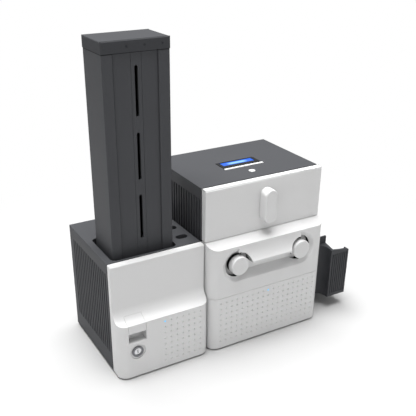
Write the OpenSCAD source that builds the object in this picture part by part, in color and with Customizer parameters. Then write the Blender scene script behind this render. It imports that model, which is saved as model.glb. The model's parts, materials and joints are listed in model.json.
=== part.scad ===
// Desktop printer for plastic identity cards, with a tall card magazine on a
// feeder unit at the left, the printing unit at the right and a card hopper on
// its right side. Millimetres, +X to the right, +Y to the back, +Z up.

/* [Units] */
// Width of the feeder unit
feeder_w = 160; // [150:1:180]
// Height of the feeder unit above its lower edge
feeder_h = 192; // [186:1:200]
// Width of the printing unit
printer_w = 223; // [215:1:240]
// Height of the printing unit above its lower edge
printer_h = 280; // [274:1:300]
// Depth of both units from the front bulge to the rear panel
unit_depth = 192; // [188:1:210]
// Gap between the two units
unit_gap = 2.5; // [2:0.5:4]
// Height of the rubber feet, and so of the lower edges
foot_gap = 3; // [3:0.5:6]
// Thickness of the dark casing walls
casing_t = 2.5; // [2:0.5:3]
// Corner radius of the bulging front pieces, seen from above
corner_r = 16; // [12:1:18]
// Height of the card path above the surface that the printer stands on
path_z = 125; // [124:0.5:126]

/* [Silver fronts] */
// Set-back of the upper front faces behind the bulge
panel_y = 21; // [20:0.5:22]
// Depth of the front pieces, up to their back edges
front_back = 33.4; // [33.4:0.2:34]
// Wall thickness of the front pieces
front_t = 3; // [2.5:0.5:3]
// Bevel along the upper front edges
bevel = 2.6; // [2:0.2:3]
// Open seam between two front pieces
seam = 0.6; // [0.4:0.1:0.8]
// Height of the feeder door's bulge above its lower edge
bulge_h = 95; // [90:1:100]
// Height of the printer's lower cover
cover_h = 96; // [90:1:100]
// Height of the ribbon drawer's front
drawer_h = 96; // [92:1:100]
// Height of the drawer front's upright face
drawer_face_h = 88; // [85:1:89]

/* [Magazine] */
// Outer width of the card magazine
mag_w = 101.8; // [100:0.2:104]
// Outer depth of the card magazine
mag_d = 66.6; // [65:0.2:68]
// Height of the magazine from the feed deck to the top of its cap
mag_h = 385.8; // [340:1:400]
// Height of the cap
cap_h = 16.6; // [15:0.2:20]
// How far the cap stands out past the magazine on each side
cap_over = 0.6; // [0.4:0.2:1.6]
// Width of the sunk front plate that shows
mag_front_w = 68; // [60:0.5:70]
// Width of the sight slots
sight_w = 5; // [4:0.5:6]
// Length of each sight slot
sight_l = 71.3; // [60:0.5:76]
// Spacing of the sight slots
sight_pitch = 94.5; // [85:0.5:96]
// Height of the stack of cards
stack_h = 60; // [40:1:80]

/* [Printer door and handle] */
// Width of the turning handle
handle_w = 22; // [20:1:24]
// Height of the turning handle
handle_l = 58; // [50:1:64]
// How far the turning handle stands out
handle_out = 18; // [12:1:20]

/* [Ribbon drawer] */
// From the printing unit's side to the axis of a knob
knob_side = 50.5; // [49:0.5:60]
// Radius of a knob
knob_r = 16; // [14:0.5:17]
// Height of the knob axes above the card path
knob_up = 28; // [27:0.5:29]
// How far the knobs stand out of the front face
knob_out = 6; // [3:0.5:8]
// Radius of the shallow dish round each knob
dish_r = 29.5; // [28:0.5:30]
// Radius of the deep pocket round each knob
pocket_r = 22.5; // [21:0.5:24]
// Radius of the full ribbon roll
film_r = 21; // [16:0.5:21]
// How far the pull lip stands out of the front face
lip_out = 8; // [5:0.5:10]

/* [Display and keys] */
// Width of the display bezel
bezel_w = 74.5; // [70:0.5:78]
// Depth of the display bezel
bezel_d = 27.5; // [26:0.5:29]
// Width of the lit display
lcd_w = 61.5; // [56:0.5:64]
// Depth of the lit display
lcd_d = 15; // [12:0.5:16]
// Length of one bar key
key_l = 18.4; // [16:0.2:18.4]
// Spacing of the bar keys
key_pitch = 19; // [19:0.1:19.4]
// Depth of a bar key
key_d = 5; // [4:0.2:5.6]
// Radius of the round button
button_r = 5.5; // [4:0.5:7]

/* [Output hopper] */
// Width of the hopper's bin
bin_w = 40; // [38:1:46]
// Gap between the casing and the hopper's bin
neck_w = 36; // [34:1:42]
// Height of the hopper's lower edge
bin_z = 23; // [15:1:26]
// Height of the hopper's left rim
rim_z = 119; // [117:0.5:120]
// Wall thickness of the hopper
bin_t = 3; // [2.5:0.5:4]

/* [Vents] */
// Spacing of the vent slots
vent_pitch = 8.35; // [8:0.05:9]
// Width of a vent slot
vent_w = 4; // [3:0.5:5]

/* [Hidden] */
$fn = 64;

silver = "#d4d4d4";
casing_grey = "#4a4b4d";
magazine_grey = "#48494b";
hopper_grey = "#3a3b3d";
steel = "#a8acb0";
inner_black = "#26272a";
card_white = "#f2f2f0";
lamp_blue = "#8fd8ff";

// walls and play of the magazine round a standard card
card_t = 0.76;
lane_side = 1;
mag_side = 7.1;
mag_skin = 5.3;
cavity_w = mag_w - 2 * mag_side;
cavity_d = mag_d - 2 * mag_skin;
card_l = cavity_w - 2 * lane_side;
card_w = cavity_d - 2 * lane_side;

// overrun of every cut past the face it opens
cut = 1;
// thickness left of a skin where a piece is fused to it
skin = 1;
// radial play of a part that turns, and of a part that is pressed in
turn_play = 0.05;
seat_play = 0.02;
// play between flat neighbours, between moving pieces and along shafts
flat_play = 0.1;
move_play = 0.3;
end_play = 1;

// plan of the two units
px0 = feeder_w + unit_gap;
px1 = px0 + printer_w;
pcx = (px0 + px1) / 2;
casing_set = 1.4;
door_set = 2.2;
feeder_set = 1.2;
casing_y = front_back + casing_set;
feeder_door_back = front_back - door_set;
feeder_casing_y = feeder_door_back + feeder_set;
rear_y = unit_depth;
rear_out = 2;
feeder_top = foot_gap + feeder_h;
printer_top = foot_gap + printer_h;
lid_t = 3;

// hopper places
bin_x0 = px1 + neck_w;
bin_x1 = bin_x0 + bin_w;

// origin: middle of the whole object in plan, on the surface it stands on
origin_x = bin_x1 / 2;
origin_y = (rear_y + rear_out - lip_out) / 2;

// steel trays
tray_t = 1.5;
tray_in = 1.2;
tray_y = casing_y + tray_in;
tray_back = rear_y - casing_t;
flange_h = 14;
bulk_t = 2;
bulk_y = tray_y;
foot_r = 9;
foot_inset = 20;
foot_plug_r = 4;
foot_plug_h = 4;

// slits for the cards and rows of vents in the casing walls
slit_side = 2;
slit_low = 1;
slit_high = 6;
vent_in = 4.5;
vent_y0 = tray_y + vent_in;
vent_back = 12;
vent_top = 19.5;
feeder_vent_z = 30;
printer_vent_z = 26;

// magazine places: the magazine stands in the middle of the card lane
lane_share = 0.4140625;
lane_y = rear_y * lane_share;
lane_y0 = lane_y - card_w / 2 - lane_side;
lane_y1 = lane_y + card_w / 2 + lane_side;
bulk_gap = 20.5;
rear_bulk_y = lane_y1 + bulk_gap;
mag_x0 = 16.3;
mag_x1 = mag_x0 + mag_w;
mag_cx = (mag_x0 + mag_x1) / 2;
mag_y0 = lane_y - mag_d / 2;
mag_y1 = lane_y + mag_d / 2;
mag_corner_r = 1.2;
deck_play = 0.2;
mag_z0 = path_z + deck_play;
mag_top = path_z + mag_h - cap_h;
ledge_t = 2;
ledge_in = 6;
stack_z = mag_z0 + ledge_t;
gate_h = 2.2;
plate_t = 3;
plate_shift = 1;
plate_cx = mag_cx - plate_shift;
rebate_w = 3.5;
sight_drop = 18.3;
groove = 0.5;
groove_out = 8;
weight_t = 5;
grip_h = 16;

// magazine cap with its hinge and screws
cap_wall = 2.5;
cap_lip = 5;
knuckle_r = 2.2;
knuckle_w = 12;
cap_knuckle_w = 34;
cap_pin_r = 1.1;
knuckle_y = mag_y1 + cap_over + knuckle_r + move_play;
screw_r = 1;
screw_head_r = 1.7;
screw_head = 1;
screw_l = 5;
screw_pitch = 26.8;
screw_side = 11.7;
screw_drop = 8.5;
screw_z = path_z + mag_h - screw_drop;

// feed deck and pick drive
deck_t = 4;
deck_x0 = casing_t + flat_play + tray_t;
deck_side = 3;
leg_t = 2;
rim_h = 5;
shaft_r = 3;
pick_r = 9;
pick_z = stack_z - flat_play - pick_r;
gear_m = 0.8;
gear_teeth = 24;
pinion_teeth = 12;
gear_t = 4;
gear_behind = 2.6;
gear_y = mag_y1 + gear_behind;
gear_tip_share = 0.9;
gear_root_share = 1.25;
gear_thin_share = 0.06;
pressure_angle = 20;
gear_axes = gear_m * (gear_teeth + pinion_teeth) / 2;
pinion_z = pick_z - gear_axes;
hanger_t = 2;
hanger_out = 4;
hanger_half = 8;
hanger_low = 7;
hanger_y0 = lane_y0 - hanger_out;
hanger_y1 = mag_y1 - hanger_t;
shaft_step = 1.5;
shaft_over = 2;
shaft_in = 4;
motor_plate_y = gear_y + gear_t + shaft_step;
pick_motor_w = 35;
pick_motor_l = 28;
pick_motor_flat = 4;
motor_shaft_r = 2.5;

// well of the lid
well_left = 5.3;
well_right = 2.9;
well_front = 10.2;
well_back = 9.2;
well_x0 = mag_x0 - well_left;
well_x1 = mag_x1 + well_right;
well_y0 = mag_y0 - well_front;
well_y1 = mag_y1 + well_back;
well_t = 2;
well_r = 8;
oval_share = 0.54;
oval_w = (feeder_w - well_x1 - well_t) * oval_share;
oval_x = (well_x1 + well_t + feeder_w) / 2;
oval_d = 13;
oval_pitch = 37;
oval_depth = 7;
oval_wall = 2;

// feeder door: cove between bulge and panel
cove_over = 1;
cove_r = panel_y + cove_over;
cove_z = foot_gap + bulge_h + sqrt(cove_r * cove_r - cove_over * cove_over);
door_axis_y = 6.5;
door_axis_z = foot_gap + door_axis_y;
eye_r = 3.2;
pin_r = 1.5;
arm_w = 5;
arm_inset = 24;
lug_w = 4;
lug_gap = 0.4;
latch_x0 = 16.5;
latch_w = 30;
latch_y1 = 17;
latch_set = 1;
latch_in = 3.2;
latch_hinge_y = latch_y1 - latch_set;
latch_hinge_r = cove_r + latch_in;
latch_hinge_far = latch_hinge_y + cove_over;
latch_hinge_z = cove_z - sqrt(latch_hinge_r * latch_hinge_r - latch_hinge_far * latch_hinge_far);
latch_barrel_r = 1.8;
latch_pin_r = 1.2;
latch_pin_in = 2;
finger_drop = 31;
finger_z0 = foot_gap + bulge_h - finger_drop;
finger_h = 16;
finger_depth = 14;
finger_wall = 2;
latch_t = 2.2;
lock_x = 31;
lock_drop = 19;
lock_z = finger_z0 - lock_drop;
lock_dish_r = 13;
lock_dish = 2;
lock_bezel_r = 9.5;
lock_r = 8;
plug_r = 6;
key_slot_w = 1.4;
key_slot_h = 7;
lock_tail = 9;
lock_cam_half = 4;
lock_cam_t = 2;
lock_cam_reach = 16;
led_r = 1.8;
led_side = 1.2;
led_x = feeder_w / 2 - led_side;
led_drop = 9;
led_z = foot_gap + bulge_h - led_drop;
led_l = 8;

// upper door hinge, at the door's top edge
hinge_in = 8;
hinge_y = panel_y + hinge_in;
top_wall = 2;
small_eye_r = 2.4;
small_pin_r = 1.5;
hinge_z = printer_top - top_wall - small_eye_r - move_play;
bracket_h = 20;
bracket_t = 6;
hinge_inset = 20;
rear_chamfer = 1.5;

// ribbon drawer
face_z0 = foot_gap + cover_h + seam / 2;
face_z1 = foot_gap + cover_h + drawer_h - seam / 2;
face_edge = foot_gap + cover_h + drawer_face_h;

// turning handle, just above the middle of the upper door
handle_rise = 1.15;
handle_z = (face_z1 + printer_top) / 2 + handle_rise;
handle_shaft_r = 5;
cam_r = 9;
cam_t = 2.6;

// knobs, spindles and pull lip
knob_z = path_z + knob_up;
knob_span = printer_w - 2 * knob_side;
knob_x0 = pcx - knob_span / 2;
knob_x1 = pcx + knob_span / 2;
dish = 5;
dish_slope = 6;
pocket = 13;
knob_back = 11;
spindle_r = 4;
spindle_tip_r = 3;
core_r = 9;
lip_drop = 28;
lip_up = 1.5;
lip_z = knob_z + lip_up;
lip_t = 3;
hood_z = lip_z + lip_drop;
hood_run = hood_z - lip_z - lip_t;
hood_r = (hood_run * hood_run + lip_out * lip_out) / (2 * lip_out);
slot_mouth = 28;
slot_floor = 18;
slot_depth = 13;
frame_t = 2.2;
frame_top = 3;
frame_side = 8;
carrier_gap = 10;
carrier_y0 = rear_bulk_y - carrier_gap;
carrier_t = 3;
rail_t = 3;
rail_up = 12;
rail_z0 = path_z + rail_up;
rail_h = 12;
rail_side = 2.5;
rail_x = film_r + rail_side;
rod_r = 1.5;
rod_x = 19;
rod_up = 3.6;
rod_z = path_z + rod_up;
rod_wall = 2;
rod_over = 1.2;
rod_foot = 3.5;
web_t = 0.3;
web_side = 3.5;
web_y0 = lane_y0 - web_side;
web_y1 = lane_y1 + web_side;
core_over = 3;
core_y0 = web_y0 - core_over;
core_y1 = web_y1 + core_over;
core_flange_t = 2;
core_flange = 3;
inner_x = 15;
runner_t = 3;
way_top = 5;
way_side = 13;
way_roll = 14;

// print head
head_w = 22;
head_up = 2.4;
head_z0 = path_z + head_up;
head_h = 39;
head_edge_w = 8;
head_edge_h = 8;
post_r = 3;
post_y = 18;
post_over = 4;
head_over = 2;
fin = 3;
fins = 4;
fin_up = 5;
bridge_up = 25;
bridge_z = knob_z + film_r + bridge_up;
bridge_t = 2;
bridge_w = 50;

// rollers and drive
roller_r = 6;
roller_z = path_z - roller_r;
pinch_r = 4;
pinch_z = path_z + card_t + move_play + pinch_r;
pinch_pin_r = 1.5;
shaft_out = 1;
end_in = 12.5;
entry_x = px0 + end_in;
exit_x = px1 - end_in;
pulley_r = 7.5;
pulley_t = 7;
pulley_y = rear_bulk_y + bulk_t + shaft_step;
belt_t = 1.2;
belt_w = 6;
motor_side = 54;
motor_x = pcx - motor_side;
motor_w = 42;
motor_l = 34;
motor_y = pulley_y + pulley_t + end_play;
standoff_r = 3;
standoff_in = 5;
boss_r = 4;

// display, keys and button on the top
bezel_back = 88.25;
bezel_y = rear_y - bezel_back;
lcd_set = 4;
lcd_y = bezel_y + lcd_set;
bezel_up = 0.8;
bezel_down = 4;
bezel_flange = 1.5;
lcd_t = 4;
key_set = 17.75;
key_y = bezel_y - key_set;
key_up = 1.2;
key_flange = 1.2;
key_lip = 1.2;
key_play = 0.3;
key_row = 3 * key_pitch + key_l;
button_set = 23.5;
button_y = key_y - button_set;
button_dish_share = 0.8;

// rear panel fittings
rear_t = 1.5;
rear_in = 0.5;
rear_panel_y = rear_y - rear_t - rear_in;
inlet_side = 40;
inlet_x = px0 + inlet_side;
inlet_z = 36;
inlet_w = 27.5;
inlet_h = 20;
inlet_in = 24;
inlet_wall = 2;
inlet_floor = 6;
plate_side = 4;
plate_rim = 3;
switch_w = 13;
switch_h = 19;
switch_gap = 6;
switch_z = inlet_z + inlet_h / 2 + switch_h / 2 + switch_gap;
rocker_r = 8;
rocker_in = 10;
rocker_side = 1.5;
rocker_drop = 5;
rocker_y = rear_y + rear_out - rocker_drop;
port_side = 70;
port_x = px1 - port_side;
port_w = 16;
port_h = 13.5;
port_l = 18;
port_pitch = 24;
rear_vents = 8;
rear_vent_drop = 83;
rear_vent_z = printer_top - rear_vent_drop;

// lamp of the lower cover, circuit board and power supply
cover_led_drop = 9.4;
cover_led_z = foot_gap + cover_h - cover_led_drop;
board_z = 20;
board_t = 1.6;
board_side = 20;
board_gap = 6;
board_post = 6;
chip_x = 26;
chip_w = 14;
chip_t = 2;
supply_x = 28;
supply_y = 16;
supply_over = 30;
supply_gap = 6;
supply_h = 38;

// hopper
rim_drop = 6;
rim_rise = 5;
chute_up = 12.5;
chute_z = path_z + chute_up;
chute_over = 8;
chute_x1 = bin_x0 + chute_over;
chute_side = 11;
chute_y0 = lane_y0 - chute_side;
chute_drop = 3;
bin_ahead = 23.9;
bin_y0 = chute_y0 - bin_ahead;
bin_y1 = lane_y1 + bin_t + lane_side;
bin_front_t = 4;
side_step = 10;
side_drop = 2;
fillet_r = 20;
low_up = 37;
low_z = bin_z + low_up;
rib_pitch = 4.5;
rib_sink = 1.2;
rib_w = 2.25;
rib_low = 6;
rib_top = 3;
rib_in = 3.4;
rib_x0 = bin_x0 + rib_in;
rib_count = floor((bin_w - rib_in) / rib_pitch);
hook_w = 12;
hook_t = 2;
hook_h = 10;
hook_down = 3;
hook_up = 40;
hook_z = bin_z + hook_up;
hook_y = [lane_y0, lane_y1 - hook_w];

module placed() translate([-origin_x, -origin_y, 0]) children();

// a box between two opposite corners
module block(a, b) translate(a) cube(b - a);

// round bars along each axis
module bar_x(y, z, x0, x1, r) translate([x0, y, z]) rotate([0, 90, 0]) cylinder(h = x1 - x0, r = r);
module bar_y(x, z, y0, y1, r) translate([x, y0, z]) rotate([-90, 0, 0]) cylinder(h = y1 - y0, r = r);
module bar_z(x, y, z0, z1, r) translate([x, y, z0]) cylinder(h = z1 - z0, r = r);

// a (y, z) outline pushed along X, and an (x, z) outline pushed along Y
module along_x(x0, x1) translate([x0, 0, 0]) rotate([90, 0, 90]) linear_extrude(x1 - x0) children();
module along_y(y0, y1) translate([0, y1, 0]) rotate([90, 0, 0]) linear_extrude(y1 - y0) children();

// a rectangle with four round corners
module round_rect(x0, y0, x1, y1, r) {
    for (x = [x0 + r, x1 - r], y = [y0 + r, y1 - r]) translate([x, y]) circle(r);
    translate([x0 + r, y0]) square([x1 - x0 - 2 * r, y1 - y0]);
    translate([x0, y0 + r]) square([x1 - x0, y1 - y0 - 2 * r]);
}

// plan of a bulging front, drawn in by inset, with two round front corners
module front_plan(x0, x1, inset, back) {
    for (x = [x0 + corner_r, x1 - corner_r]) translate([x, corner_r]) circle(corner_r - inset);
    translate([x0 + inset, corner_r]) square([x1 - x0 - 2 * inset, back - corner_r]);
    translate([x0 + corner_r, inset]) square([x1 - x0 - 2 * corner_r, corner_r]);
}

// a row of upright vent slots through a wall that faces X
module vents(x0, x1, y0, y1, z0, z1) {
    count = floor((y1 - y0) / vent_pitch);
    for (y = [for (i = [0:count]) y0 + i * vent_pitch])
        block([x0 - cut, y - vent_w / 2, z0], [x1 + cut, y + vent_w / 2, z1]);
}

// an involute point at roll angle a, and one gear's outline
function involute(base, a) = [base * (cos(a) + a * PI / 180 * sin(a)),
    base * (sin(a) - a * PI / 180 * cos(a))];
function turned(p, a) = [p[0] * cos(a) - p[1] * sin(a), p[0] * sin(a) + p[1] * cos(a)];
module gear_outline(teeth, m, thin) {
    pitch_r = m * teeth / 2;
    base_r = pitch_r * cos(pressure_angle);
    tip_r = pitch_r + m * gear_tip_share;
    root_r = pitch_r - m * gear_root_share;
    foot = root_r - m / 2;
    roll_tip = sqrt(tip_r * tip_r / (base_r * base_r) - 1) * 180 / PI;
    roll_pitch = tan(pressure_angle) * 180 / PI;
    lean = atan2(involute(base_r, roll_pitch)[1], involute(base_r, roll_pitch)[0]);
    half = 90 / teeth - thin / pitch_r * 180 / PI + lean;
    flank = [for (i = [0:5]) turned(involute(base_r, roll_tip * i / 5), -half)];
    mirrored = [for (i = [5:-1:0]) [flank[i][0], -flank[i][1]]];
    circle(root_r);
    for (t = [0:teeth - 1]) rotate(t * 360 / teeth)
        polygon(concat([[0, 0], [foot * cos(half), -foot * sin(half)]],
            flank, mirrored, [[foot * cos(half), foot * sin(half)]]));
}

// Feeder unit

module feeder_base() color(steel) placed() {
    x0 = casing_t + flat_play;
    x1 = feeder_w - casing_t - flat_play;
    difference() {
        union() {
            block([x0, tray_y, foot_gap], [x1, tray_back, foot_gap + tray_t]);
            block([x0, tray_y, foot_gap], [x0 + tray_t, tray_back, foot_gap + flange_h]);
            block([x1 - tray_t, tray_y, foot_gap], [x1, tray_back, foot_gap + flange_h]);
            block([x0, tray_y, foot_gap], [x1, tray_y + tray_t, foot_gap + flange_h]);
            for (x = [arm_inset, feeder_w - arm_inset - arm_w]) {
                block([x, door_axis_y, door_axis_z - eye_r],
                    [x + arm_w, tray_y + tray_t, door_axis_z + eye_r]);
                bar_x(door_axis_y, door_axis_z, x, x + arm_w, eye_r);
            }
        }
        bar_x(door_axis_y, door_axis_z, -cut, feeder_w, pin_r + seat_play);
        feet_at(x0, x1) bar_z(0, 0, 0, foot_gap + tray_t + cut, foot_plug_r + seat_play);
    }
}

// places of four feet under one tray
module feet_at(x0, x1) {
    for (x = [x0 + foot_inset, x1 - foot_inset], y = [tray_y + foot_inset, tray_back - foot_inset])
        translate([x, y, 0]) children();
}

module rubber_feet() color(inner_black) placed() {
    for (ends = [[casing_t, feeder_w - casing_t], [px0 + casing_t, px1 - casing_t]])
        feet_at(ends[0] + flat_play, ends[1] - flat_play) {
            bar_z(0, 0, 0, foot_gap, foot_r);
            bar_z(0, 0, foot_gap - cut, foot_gap + foot_plug_h, foot_plug_r);
        }
}

// card slit through a side wall, level with the card path
module card_slit(x0, x1) block([x0 - cut, lane_y0 - slit_side, path_z - slit_low],
    [x1 + cut, lane_y1 + slit_side, path_z + slit_high]);

module feeder_casing() color(casing_grey) placed() difference() {
    block([0, feeder_casing_y, foot_gap], [feeder_w, rear_y, feeder_top - lid_t]);
    block([casing_t, -cut, 0], [feeder_w - casing_t, rear_y - casing_t, feeder_top]);
    vents(0, casing_t, vent_y0, rear_y - vent_back, foot_gap + feeder_vent_z, feeder_top - vent_top);
    card_slit(feeder_w - casing_t, feeder_w);
}

module feeder_lid() color(casing_grey) placed() difference() {
    union() {
        block([0, feeder_casing_y, feeder_top - lid_t], [feeder_w, rear_y, feeder_top]);
        translate([0, 0, path_z]) linear_extrude(feeder_top - lid_t - path_z)
            round_rect(well_x0 - well_t, well_y0 - well_t, well_x1 + well_t, well_y1 + well_t,
                well_r + well_t);
        block([oval_x - oval_w / 2 - oval_wall, lane_y - (oval_pitch + oval_d) / 2 - oval_wall,
            feeder_top - lid_t - oval_depth],
            [oval_x + oval_w / 2 + oval_wall, lane_y + (oval_pitch + oval_d) / 2 + oval_wall, feeder_top]);
    }
    translate([0, 0, path_z - cut]) linear_extrude(feeder_top)
        round_rect(well_x0, well_y0, well_x1, well_y1, well_r);
    card_slit(well_x1, well_x1 + well_t);
    for (s = [-1, 1]) translate([oval_x, lane_y + s * oval_pitch / 2, feeder_top - oval_depth])
        linear_extrude(oval_depth + cut)
            round_rect(-oval_w / 2, -oval_d / 2, oval_w / 2, oval_d / 2, oval_d / 2 - flat_play);
}

module feed_deck() color(steel) placed() {
    z0 = path_z - deck_t;
    x1 = feeder_w - deck_x0;
    legs_z = foot_gap + tray_t;
    rim_x0 = mag_x0 - move_play;
    rim_x1 = mag_x1 + move_play;
    rim_y0 = mag_y0 - move_play;
    rim_y1 = mag_y1 + move_play;
    gear_half = gear_m * gear_teeth / 2 + end_play;
    pin_y = motor_plate_y + hanger_t;
    difference() {
        union() {
            block([deck_x0, tray_y + deck_side, z0], [x1, tray_back - deck_side, path_z]);
            block([deck_x0, tray_y + deck_side, legs_z], [deck_x0 + leg_t, tray_back - deck_side, path_z]);
            block([x1 - leg_t, tray_y + deck_side, legs_z], [x1, tray_back - deck_side, path_z]);
            for (y = [hanger_y0, hanger_y1])
                block([mag_cx - hanger_half, y, pick_z - hanger_low],
                    [mag_cx + hanger_half, y + hanger_t, z0 + cut]);
            block([mag_cx - pick_motor_w / 2, motor_plate_y, pinion_z - pick_motor_w / 2],
                [mag_cx + pick_motor_w / 2, pin_y, z0 + cut]);
            block([rim_x0 - leg_t, rim_y0 - leg_t, z0], [rim_x1, rim_y0, path_z + rim_h]);
            block([rim_x0 - leg_t, rim_y1, z0], [rim_x1, rim_y1 + leg_t, path_z + rim_h]);
            block([rim_x0 - leg_t, rim_y0, z0], [rim_x0, rim_y1, path_z + rim_h]);
        }
        block([mag_cx - pick_r - end_play, hanger_y0 + hanger_t, z0 - cut],
            [mag_cx + pick_r + end_play, hanger_y1, path_z + cut]);
        block([mag_cx - gear_half, gear_y - end_play, z0 - cut],
            [mag_cx + gear_half, gear_y + gear_t + end_play, path_z + rim_h + cut]);
        bar_y(mag_cx, pick_z, hanger_y0 - shaft_over - cut, gear_y, shaft_r + turn_play);
        bar_y(mag_cx, pinion_z, motor_plate_y - cut, pin_y + cut, motor_shaft_r + end_play);
    }
}

module pick_roller() color(inner_black) placed() {
    sleeve = cavity_d / 2 - ledge_in - end_play;
    bar_y(mag_cx, pick_z, lane_y - sleeve, lane_y + sleeve, pick_r);
    bar_y(mag_cx, pick_z, hanger_y0 - shaft_over, gear_y + gear_t, shaft_r);
    translate([mag_cx, gear_y + gear_t, pick_z]) rotate([90, 0, 0])
        linear_extrude(gear_t) gear_outline(gear_teeth, gear_m, gear_m * gear_thin_share);
}

module pick_pinion() color(steel) placed() {
    translate([mag_cx, gear_y + gear_t, pinion_z]) rotate([90, 0, 0])
        linear_extrude(gear_t) rotate(180 / pinion_teeth)
            gear_outline(pinion_teeth, gear_m, gear_m * gear_thin_share);
    bar_y(mag_cx, pinion_z, gear_y + gear_t - cut, motor_plate_y + hanger_t + shaft_in, motor_shaft_r);
}

module pick_motor() color(inner_black) placed() difference() {
    block([mag_cx - pick_motor_w / 2, motor_plate_y + hanger_t, pinion_z - pick_motor_w / 2],
        [mag_cx + pick_motor_w / 2, motor_plate_y + hanger_t + pick_motor_l,
            pinion_z + pick_motor_w / 2 - pick_motor_flat]);
    bar_y(mag_cx, pinion_z, motor_plate_y, motor_plate_y + hanger_t + shaft_in + end_play,
        motor_shaft_r + turn_play);
}

// outer or inner space of the feeder door, drawn in by t
module door_space(t) intersection() {
    along_x(t, feeder_w - t) difference() {
        translate([t, foot_gap - (t > 0 ? cut : 0)])
            square([feeder_door_back - t + (t > 0 ? cut : 0), feeder_h - t + (t > 0 ? cut : 0)]);
        translate([-cove_over, cove_z]) circle(cove_r + t);
        translate([-cut, cove_z]) square([panel_y + t + cut, feeder_h]);
    }
    linear_extrude(feeder_top) front_plan(0, feeder_w, t, feeder_door_back + cut);
}

// bevel along an upper front edge
module edge_bevel(x0, x1, y, z) along_x(x0 - cut, x1 + cut)
    polygon([[y - cut, z - bevel - cut], [y - cut, z + cut], [y + bevel + cut, z + cut]]);

// room of the latch flap in the door, grown by g
module latch_space(g) block([latch_x0 - g, -cut, finger_z0 + finger_h - g],
    [latch_x0 + latch_w + g, latch_y1 + g, cove_z]);

module feeder_door() color(silver) placed() {
    back = feeder_door_back;
    difference() {
        union() {
            difference() {
                door_space(0);
                door_space(front_t);
                latch_space(0);
            }
            // walls of the finger pocket
            difference() {
                block([latch_x0 - front_t, skin, finger_z0 - front_t],
                    [latch_x0 + latch_w + front_t, finger_depth + finger_wall, finger_z0 + finger_h]);
                block([latch_x0, 0, finger_z0],
                    [latch_x0 + latch_w, finger_depth, finger_z0 + finger_h + cut]);
            }
            // cheeks on both sides of the latch flap
            for (x = [latch_x0 - front_t, latch_x0 + latch_w])
                intersection() {
                    door_space(skin);
                    block([x, 0, finger_z0], [x + front_t, latch_y1 + front_t, cove_z]);
                }
            // wall behind the lock's dish
            bar_y(lock_x, lock_z, lock_dish, lock_dish + front_t, lock_dish_r + front_t);
            // hinge lugs beside the arms
            for (x = [arm_inset - lug_w - lug_gap, feeder_w - arm_inset + lug_gap]) {
                bar_x(door_axis_y, door_axis_z, x, x + lug_w, eye_r);
                block([x, skin, door_axis_z - eye_r], [x + lug_w, door_axis_y, door_axis_z + eye_r]);
            }
        }
        block([latch_x0, -cut, finger_z0], [latch_x0 + latch_w, finger_depth, finger_z0 + finger_h + cut]);
        // room and bearings of the latch flap's hinge
        bar_x(latch_hinge_y, latch_hinge_z, latch_x0, latch_x0 + latch_w, latch_barrel_r + move_play);
        bar_x(latch_hinge_y, latch_hinge_z, latch_x0 - latch_pin_in - move_play,
            latch_x0 + latch_w + latch_pin_in + move_play, latch_pin_r + turn_play);
        bar_y(lock_x, lock_z, -cut, lock_dish, lock_dish_r);
        bar_y(lock_x, lock_z, 0, back, lock_r + seat_play);
        bar_y(led_x, led_z, -cut, front_t + cut, led_r + seat_play);
        bar_x(door_axis_y, door_axis_z, arm_inset - lug_w - lug_gap - cut, arm_inset, pin_r + turn_play);
        bar_x(door_axis_y, door_axis_z, feeder_w - arm_inset, feeder_w - arm_inset + lug_w + 2 * cut,
            pin_r + turn_play);
        edge_bevel(0, feeder_w, panel_y, feeder_top);
    }
}

module hinge_pins() color(steel) placed() {
    reach = lug_w + lug_gap;
    bar_x(door_axis_y, door_axis_z, arm_inset - reach, arm_inset + arm_w, pin_r);
    bar_x(door_axis_y, door_axis_z, feeder_w - arm_inset - arm_w, feeder_w - arm_inset + reach, pin_r);
    bar_x(hinge_y, hinge_z, px0 + hinge_inset - reach, px0 + hinge_inset + arm_w, small_pin_r);
    bar_x(hinge_y, hinge_z, px1 - hinge_inset - arm_w, px1 - hinge_inset + reach, small_pin_r);
}

module latch_flap() color(silver) placed() {
    intersection() {
        difference() {
            door_space(0);
            door_space(latch_t);
        }
        latch_space(-move_play);
    }
    bar_x(latch_hinge_y, latch_hinge_z, latch_x0 + move_play, latch_x0 + latch_w - move_play, latch_barrel_r);
    bar_x(latch_hinge_y, latch_hinge_z, latch_x0 - latch_pin_in, latch_x0 + latch_w + latch_pin_in,
        latch_pin_r);
}

module lock_barrel() color(steel) placed() difference() {
    union() {
        bar_y(lock_x, lock_z, 0, lock_dish, lock_bezel_r);
        bar_y(lock_x, lock_z, lock_dish - cut, feeder_door_back - lock_tail, lock_r);
    }
    bar_y(lock_x, lock_z, -cut, feeder_door_back, plug_r + turn_play);
}

module lock_plug() color(steel) placed() {
    y1 = feeder_door_back - lock_tail + move_play;
    difference() {
        union() {
            bar_y(lock_x, lock_z, lock_dish / 2, y1, plug_r);
            block([lock_x - lock_cam_half, y1, lock_z - lock_cam_half],
                [lock_x + lock_cam_half, y1 + lock_cam_t, lock_z + lock_cam_reach]);
        }
        block([lock_x - key_slot_w / 2, 0, lock_z - key_slot_h / 2],
            [lock_x + key_slot_w / 2, plug_r, lock_z + key_slot_h / 2]);
    }
}

module feeder_led() color(lamp_blue) placed() bar_y(led_x, led_z, 0, led_l, led_r);

// Magazine

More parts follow.
